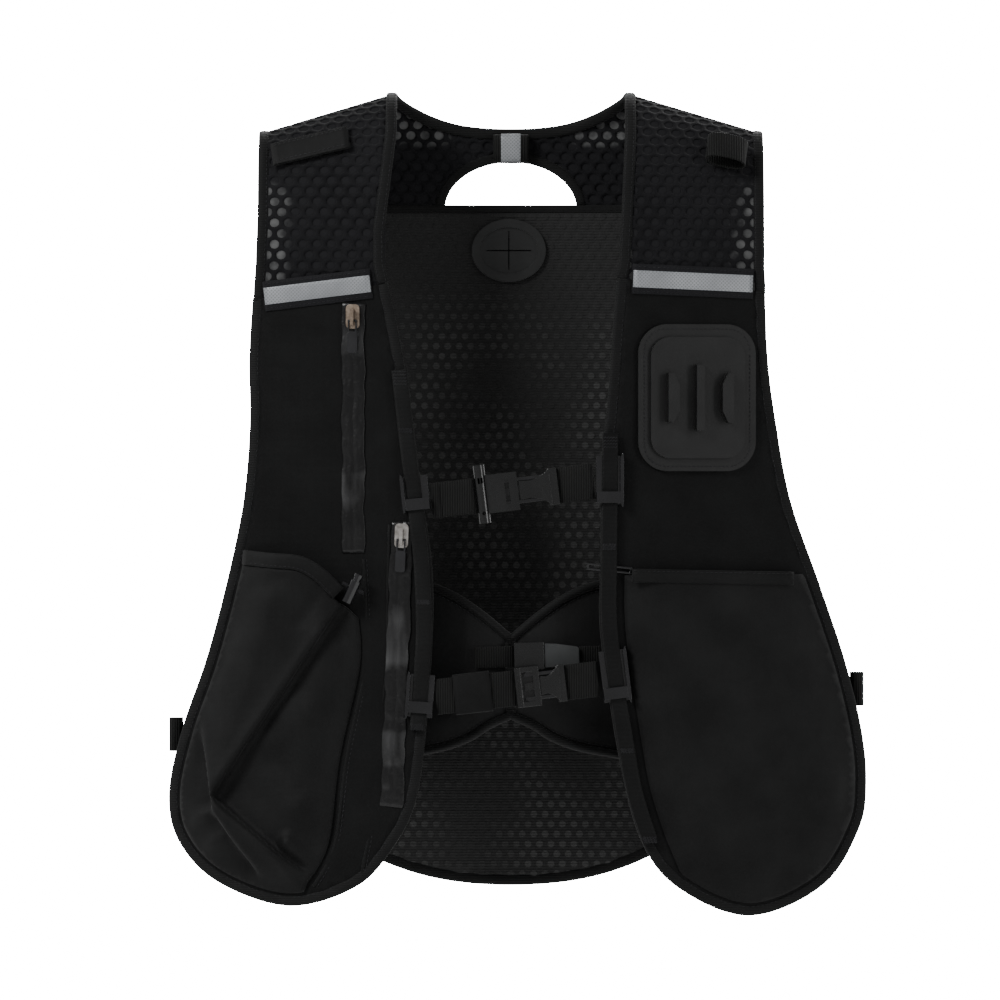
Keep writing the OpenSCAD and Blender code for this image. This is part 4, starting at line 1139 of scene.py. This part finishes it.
hem = shifted(even(mouth, 4.0), -3.2)
nearest = [int(np.argmin((pts[:, 0] - x) ** 2 + (pts[:, 1] - z) ** 2)) for x, z in hem]
p, n = smooth_path(*over_front(hem, d[nearest] + 0.1))
make("bottle_pocket_hem", *sweep(p, n, tape(10.5, 2.2, 0.5, out=-0.8)), NEO, "bottle_hem", "neoprene")
detail("bottle_hem_stitches", stitches(p, n, 1.5, across=-3.6), THREAD)

# seams on the right panel
def seam_line(name, line, surf_d):
    path, nn = over_front(even(curve(line), 4.0), surf_d)
    detail(name, [sweep(path, nn, circle(1.1, 0.45, 8))], NEO, slot="neoprene")
    detail(name + "_stitches", stitches(path, nn, 0.1, across=2.4), THREAD)


seam_line("panel_seam", [(-84.7, -276), (-86, -330), (-86.5, -375), (-92, -418), (-96, -472), (-104, -520)], 3.1)
seam_line("pocket_inner_seam",
          [(-103, -300), (-101, -345), (-102, -378), (-115, -440), (-123, -500), (-138, -530)], 3.2)

# ---- left pocket
side = [p for p in shifted(curve(LEFT_RAIL), 11.2) if p[1] < -311]
rim = [p for p in shifted(curve(LEFT_EDGE), BIND_W + 1) if p[1] < -311 and p[0] > 117]
outline = np.array(side + rim)
pts, faces = fill(outline, 4.0)
e = dist_to(pts, outline)
d = d0 + POCKET_BULGE * smooth(-3, 26, e) ** 0.8
for line in [
    ((95, -330), (215, -400), 26, 0.7), ((228, -470), (175, -540), 9, -2.0),
    ((236, -440), (200, -520), 12, 1.2), ((120, -500), (170, -540), 14, 0.8),
]:
    d = d + fold(pts, *line) * smooth(1, 14, e)
d = d + drape(pts, 5, 0.5) * smooth(4, 30, e)
cloth("left_pocket_face", pts, faces, d, NEO, "left_pocket", "neoprene", 1.4, "stretched", "left_panel")
welt_x = np.arange(83.5, 199.5, 4)
path, nn = over_front([(x, -311.8 - 0.02 * (x - 83)) for x in welt_x], LAYER + POCKET_BULGE)
make("left_pocket_welt", *sweep(path, nn, tape(9.4, 2.2, 0.6)), NEO, "left_welt", "neoprene")
detail("left_welt_stitches", stitches(path, nn, 2.6, across=3.2), THREAD)


# ---- rails
RAIL_GAP = 2.6  # how far a rail stands off the panel


def rail(name, line, tacks, node):
    """Webbing that stands off the panel, stitched down at each of its tacks, given as (low, high) heights."""
    fine = curve(line)
    c = even(fine, 3.0)
    body = [sweep(*over_front(c, LAYER + RAIL_GAP + 0.25 * np.sin(c[:, 1] * 0.13)), tape(11, 1.5, 0.12))]
    st = []
    for a, b in tacks:
        sel = [(x, z) for x, z in even(fine, 0.8) if a <= z <= b]
        if len(sel) > 2:
            body.append(sweep(*over_front(sel, LAYER + 0.4), tape(10.4, 2.3)))
        for zz in np.arange(a + 0.5, b - 0.3, 1.1 if b - a < 6 else 2.2):
            x = float(np.interp(-zz, -fine[:, 1], fine[:, 0]))
            g = at_front(x, zz)
            seg = [g(u, -(LAYER + 4.25), 0.5 * (1 if k % 2 else -1))
                   for k, u in enumerate(np.arange(-4.6, 4.7, 1.0))]
            st.append(sweep(seg, [front_n(x)] * len(seg), circle(0.35, 0.3, 6)))
    make(name, *join(body), RAIL, node, "rail_webbing")
    detail(name + "_tacks", st, THREAD)


rail("right_rail_webbing", RIGHT_RAIL, [(-178.5, -168), (-212, -208), (-332, -328), (-420, -415)], "right_rail")
rail("left_rail_webbing", LEFT_RAIL, [(-222.5, -213), (-294, -289), (-436, -432), (-499, -494)], "left_rail")


# ---- zips
def zip_film(name, g, length, node, seed):
    rng = random.Random(seed)
    ph = [rng.uniform(0, 6.28) for _ in range(6)]
    n = int(length / 2.5)
    path, nn, profs = [], [], []
    for k in range(n + 1):
        z = -length * k / n
        side = 0.35 * math.sin(z * 0.11 + ph[0]) + 0.25 * math.sin(z * 0.27 + ph[1])
        half = 8.0 + 0.3 * math.sin(z * 0.16 + ph[2]) + 0.25 * math.sin(z * 0.37 + ph[3])
        up = 0.25 * math.sin(z * 0.19 + ph[4]) + 0.2 * math.sin(z * 0.43 + ph[5])
        path.append(g(side, -3.3, z))
        nn.append(-g.ey)
        profs.append([(u * half, w + up * (0.75 if 0.3 < abs(u) < 0.9 else 0.0)) for u, w in (
            (1, 0), (1, 0.45), (0.94, 0.75), (0.7, 0.7), (0.4, 0.8), (0.12, 0.85), (0.03, 0.5),
            (-0.03, 0.5), (-0.12, 0.85), (-0.4, 0.8), (-0.7, 0.7), (-0.94, 0.75), (-1, 0.45), (-1, 0))])
    make(name, *sweep(path, nn, profs), FILM, node, "zip_film")


zip_film("chest_zip_film", at_front(-110, -121), 175, "chest_zip_tape", 4)
ez = at_front(-76, -284).turned(2.2)
ez.o = ez(0, 0, 10)
zip_film("edge_zip_film", ez, 200, "edge_zip_tape", 9)


# ---- belt wings
WING_D = 3.5  # the wings' middle, out from the surface that carries them


def wing(s, name, node):
    top = shifted(curve(WING_TOP), -5.0)
    low = shifted(curve(WING_LOW), 5.0)
    poly = np.array([(s * x, z) for x, z in np.vstack([top, low[::-1]])])
    pts, faces = fill(poly, 4.0)
    e = dist_to(pts, poly, True)
    body = np.clip(smooth(-1.5, 20, e), 0, 1) ** 0.7
    seam = fold(pts, (s * 12, -383), (s * 150, -376), 5, -1.1)
    n = len(pts)
    d1 = WING_D + 0.9 + (2.9 + seam) * body + 0.15 * drape(pts, 12, 1)
    d0 = WING_D - 0.9 - 2.5 * body
    f1, f0 = ([on_wing(x, z, dd) for (x, z), dd in zip(pts, d)] for d in (d1, d0))
    ring = boundary(faces)
    fs = [list(f) for f in faces] + [[i + n for i in f[::-1]] for f in faces]
    fs += [[b, a, a + n, b + n] for a, b in ring]
    obj = make(name, f1 + f0, fs, WING, node, "neoprene")


def boundary(faces):
    """Edges used by one face only, in that face's direction."""
    seen = {}
    for f in faces:
        for k in range(len(f)):
            a, b = f[k], f[(k + 1) % len(f)]
            seen[(a, b)] = 1
    return [(a, b) for (a, b) in seen if (b, a) not in seen]


wing(-1, "right_belt_wing", "right_wing")
wing(1, "left_belt_wing", "left_wing")
parts, st = [], []
for s in (-1, 1):
    for edge, k in ((WING_TOP, -1), (WING_LOW, 1)):
        c = even(curve(edge), 4.0)
        c2 = shifted(c, k * 3.0)
        c2 = np.vstack([c2[0] + (c2[0] - c2[1]) * 1.3, c2])
        path = [on_wing(s * x, z, WING_D) for x, z in c2]
        nn = [arc_normal(x * s, WR, -1) for x, z in c2]
        parts.append(sweep(path, nn, circle(3.0, 3.9, 14)))
        c3 = shifted(c, k * 7.2)[4:]
        st += stitches([on_wing(s * x, z, 5.2) for x, z in c3], nn[5:], 0.1)
make("belt_wing_piping", *join(parts), BINDING, "wing_piping", "binding")
detail("belt_wing_stitches", st, THREAD)


# ---- straps
def strap(name, g, x1, x2, node, w=25.0, t=1.5, y=0.0, extra=()):
    n = max(3, int(abs(x2 - x1) / 3))
    path = [g(x1 + (x2 - x1) * k / n, y, 0) for k in range(n + 1)]
    v, f = join([sweep(path, [-g.ey] * (n + 1), tape(w, t, 0.1, out=-t / 2))] + list(extra))
    return make(name, v, f, WEB, node, "webbing")


def crumple(tail, g, x):
    """Gives the webbing a mesh of its own; the point at its fixed end is worked out and not used."""
    tuple(g(x, 0, 0) / 1000)
    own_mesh(tail)


fold_up = [UPPER(x, -1.5, 0) for x in np.linspace(-49, -26, 9)]
fold_up = sweep(fold_up, [-UPPER.ey] * 9, tape(24, 1.5, 0.15, out=-0.75))
strap("upper_strap_webbing", UPPER, -56.2, -25.3, "upper_webbing", extra=[fold_up])
crumple(strap("upper_strap_tail", UPPER, 33.3, 58.2, "upper_tail"), UPPER, 58.2)
strap("lower_strap_webbing", LOWER, -53, 3.2, "lower_webbing")
crumple(strap("lower_strap_tail", LOWER, 38.8, 61, "lower_tail"), LOWER, 61)
prof = []
for cx, cy, a0 in ((13.0, 0.2, 0), (-13.0, 0.2, 90), (-13.0, -0.2, 180), (13.0, -0.2, 270)):
    for k in range(5):
        a = math.radians(a0 + 22.5 * k)
        prof.append((cx + 1.2 * math.cos(a), cy + 2.0 * math.sin(a)))
v, f = sweep([LOWER(-40 + 26 * k / 8) for k in range(9)], [-LOWER.ey] * 9, prof)
make("lower_strap_keeper", v, f, NEO, "lower_keeper", "neoprene")
strap("belt_strap", BELT, -26, 2.2, "belt_webbing", w=15, t=1.2, y=3.6)
belt_tail = strap("belt_strap_tail", BELT, 48.2, 66, "belt_tail", w=11, t=1.2, y=1.6)
crumple(belt_tail, BELT, 66)

# ---- shoulder tab and loop, side straps
g = at_arch(-141, 50, 4.8)
under = [g(x, -0.15, 0) for x in np.linspace(-28, 28, 15)]
over = [g(x, -1.25 - 0.1 * math.sin(x), -0.6) for x in np.linspace(-27, 27.6, 15)]
tab = [sweep(under, [-g.ey] * 15, tape(20, 1.1, 0.2)), sweep(over, [-g.ey] * 15, tape(18.4, 1.0, 0.2))]
lamp = at_front(129.5, -187.3)
ring = []
for cx, cz, a0 in ((22.5, 33, 0), (-22.5, 33, 90), (-22.5, -33, 180), (22.5, -33, 270)):
    ring += [(cx + 15.2 * math.cos(a), cz + 15.2 * math.sin(a)) for a in np.radians(a0 + 15.0 * np.arange(7))]
ring.append(ring[0])
path = [lamp(x, -PANEL_T - 2.4, z) for x, z in ring]
detail("lamp_patch_stitches", stitches(path, [-lamp.ey] * len(ring), 0.25, 3.0, 2.0), THREAD)

make("shoulder_tab_webbing", *join(tab), NEO, "shoulder_tab", "webbing")
rows = [stitches([g(x, -2.4, z) for x in (-26, 0, 26)], [-g.ey] * 3, 0.0) for z in (6.6, -7.2)]
detail("shoulder_tab_stitches", rows[0] + rows[1], THREAD, "shoulder_tab")

g = at_arch(150, 46, 4.6)
lw, lh = 27.4, 12.4
path, nn = [], []
for k in range(48):
    a = 2 * math.pi * k / 48
    ca, sa = math.cos(a), math.sin(a)
    path.append(g(lw / 2 * math.copysign(abs(ca) ** 0.8, ca), -7 + lh / 2 * math.copysign(abs(sa) ** 0.9, sa)))
    nn.append(unit(g.ex * ca / lw + g.ey * sa / lh))
v, f = sweep(path, nn, tape(20, 1.5, out=-0.75), closed=True)
make("shoulder_hose_loop", v, f, WEB, "shoulder_loop", "webbing")

parts = []
for x1, z1, x2, z2 in ((-228.5, -424, -170, -424), (238.5, -398, 170, -398)):
    a = np.array((x1, front_y(x1) + 1, z1))
    b = np.array((x2, back_y(x2) - 1, z2))
    t = unit(b - a)
    out = unit(np.cross(t, (0, 0, 1)) * (1 if x1 < 0 else -1))
    ks = np.linspace(0, 1, 24)
    path = [a + (b - a) * k + out * (0.4 * math.sin(k * 40)) for k in ks]
    parts.append(sweep(path, [out] * 24, tape(25, 1.6, 0.1, out=-0.8)))
for x0, z0, k in ((-233, -424, -1), (241, -392, 1)):
    lp = [(x0, front_y(x0) + 3.5, 0), (x0 + k * 5, front_y(x0) + 2.0, 0), (x0 + k * 7.2, front_y(x0) + 4.0, 0),
          (x0 + k * 5.5, front_y(x0) + 6.5, 0), (x0 - k * 2, front_y(x0) + 7.5, 0)]
    c = curve(lp, 5)
    gr = np.gradient(c, axis=0)
    outn = [unit((k * q[1], -k * q[0], 0)) for q in gr]
    path = [(q[0], q[1], z0) for q in c]
    parts.append(sweep(path, outn, tape(24, 1.2, out=-0.6)))
make("side_elastic_straps", *join(parts), WEB, "side_straps", "webbing")

# drawcord through the lock, out to the pocket's hem
lock_turn = math.radians(25)
g = at_front(-104 - 21.5 * math.sin(lock_turn), -311 - 21.5 * math.cos(lock_turn), -13.8).turned(25)
dc = curve([g(x, 0, 11) for x in (-8.2, -5, 0, 5, 8.3)], 4)
make("hem_cord", *sweep(dc, [-g.ey] * len(dc), circle(1.2, 1.2, 12)), CORD, "drawcord", "cord")
turn = np.linspace(0, 8 * math.pi, 80)
coil = [g(2.2 * math.cos(a), 2.2 * math.sin(a), 2.4 + 4.1 * a / turn[-1]) for a in turn]
v, f = sweep(coil, [unit(g.ex * math.cos(a) + g.ey * math.sin(a)) for a in turn], circle(0.27, 0.27, 8))
spring = make("lock_spring_coil", v, f, STEEL, "cord_lock_spring", "spring_steel")
tuple(g(0, 0, 2.1) / 1000)
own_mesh(spring)


# ---- studio
def area(name, loc, target, size, power):
    li = bpy.data.lights.new(name, "AREA")
    li.shape = "RECTANGLE"
    li.size, li.size_y = size
    li.energy = power
    o = bpy.data.objects.new(name, li)
    bpy.context.scene.collection.objects.link(o)
    o.location = loc
    o.rotation_mode = "QUATERNION"
    o.rotation_quaternion = (Vector(target) - Vector(loc)).to_track_quat("-Z", "Y")


for light in (
    ("key", (-2.0, -2.0, 1.7), (0, -0.05, -0.3), (1.0, 1.0), 92),
    ("fill", (2.0, -2.0, 0.2), (0, -0.05, -0.3), (0.6, 1.8), 20),
    ("rim_left", (-1.9, 0.5, 0.3), (0, -0.05, -0.25), (0.7, 1.8), 9),
    ("rim_right", (1.9, 0.7, 0.5), (0, -0.05, -0.25), (0.7, 1.8), 14),
    ("back_light", (0.2, 2.4, 1.3), (0, 0.0, -0.2), (1.8, 1.4), 36),
):
    area(*light)
WORLD_LIGHT, WORLD_SEEN = 0.42, 30.0  # the world's strength on the vest, and as a white background
world = bpy.data.worlds.new("world")
bpy.context.scene.world = world
world.use_nodes = True
wnt = world.node_tree
bg = wnt.nodes["Background"]
bg.inputs["Color"].default_value = (1.0, 1.0, 1.0, 1)
seen = shader(wnt, "LightPath", {}).outputs["Is Camera Ray"]
wnt.links.new(remap(wnt, seen, 0.0, 1.0, WORLD_LIGHT, WORLD_SEEN), bg.inputs["Strength"])

fm, fnt, fb = material("floor", (0.86, 0.86, 0.86), 0.8)
tint(fnt, fb, noise(fnt, coords(fnt), 3, 2), (0.84, 0.84, 0.84), (0.88, 0.88, 0.88))
me = bpy.data.meshes.new("floor")
FLOOR_R, FLOOR_Z = 2.2, -0.8
corners = [(FLOOR_R * x, FLOOR_R * y, FLOOR_Z) for x, y in ((-1, -1), (1, -1), (1, 1), (-1, 1))]
me.from_pydata(corners, [], [[0, 1, 2, 3]])
floor = bpy.data.objects.new("floor", me)
me.materials.append(fm)
bpy.context.scene.collection.objects.link(floor)
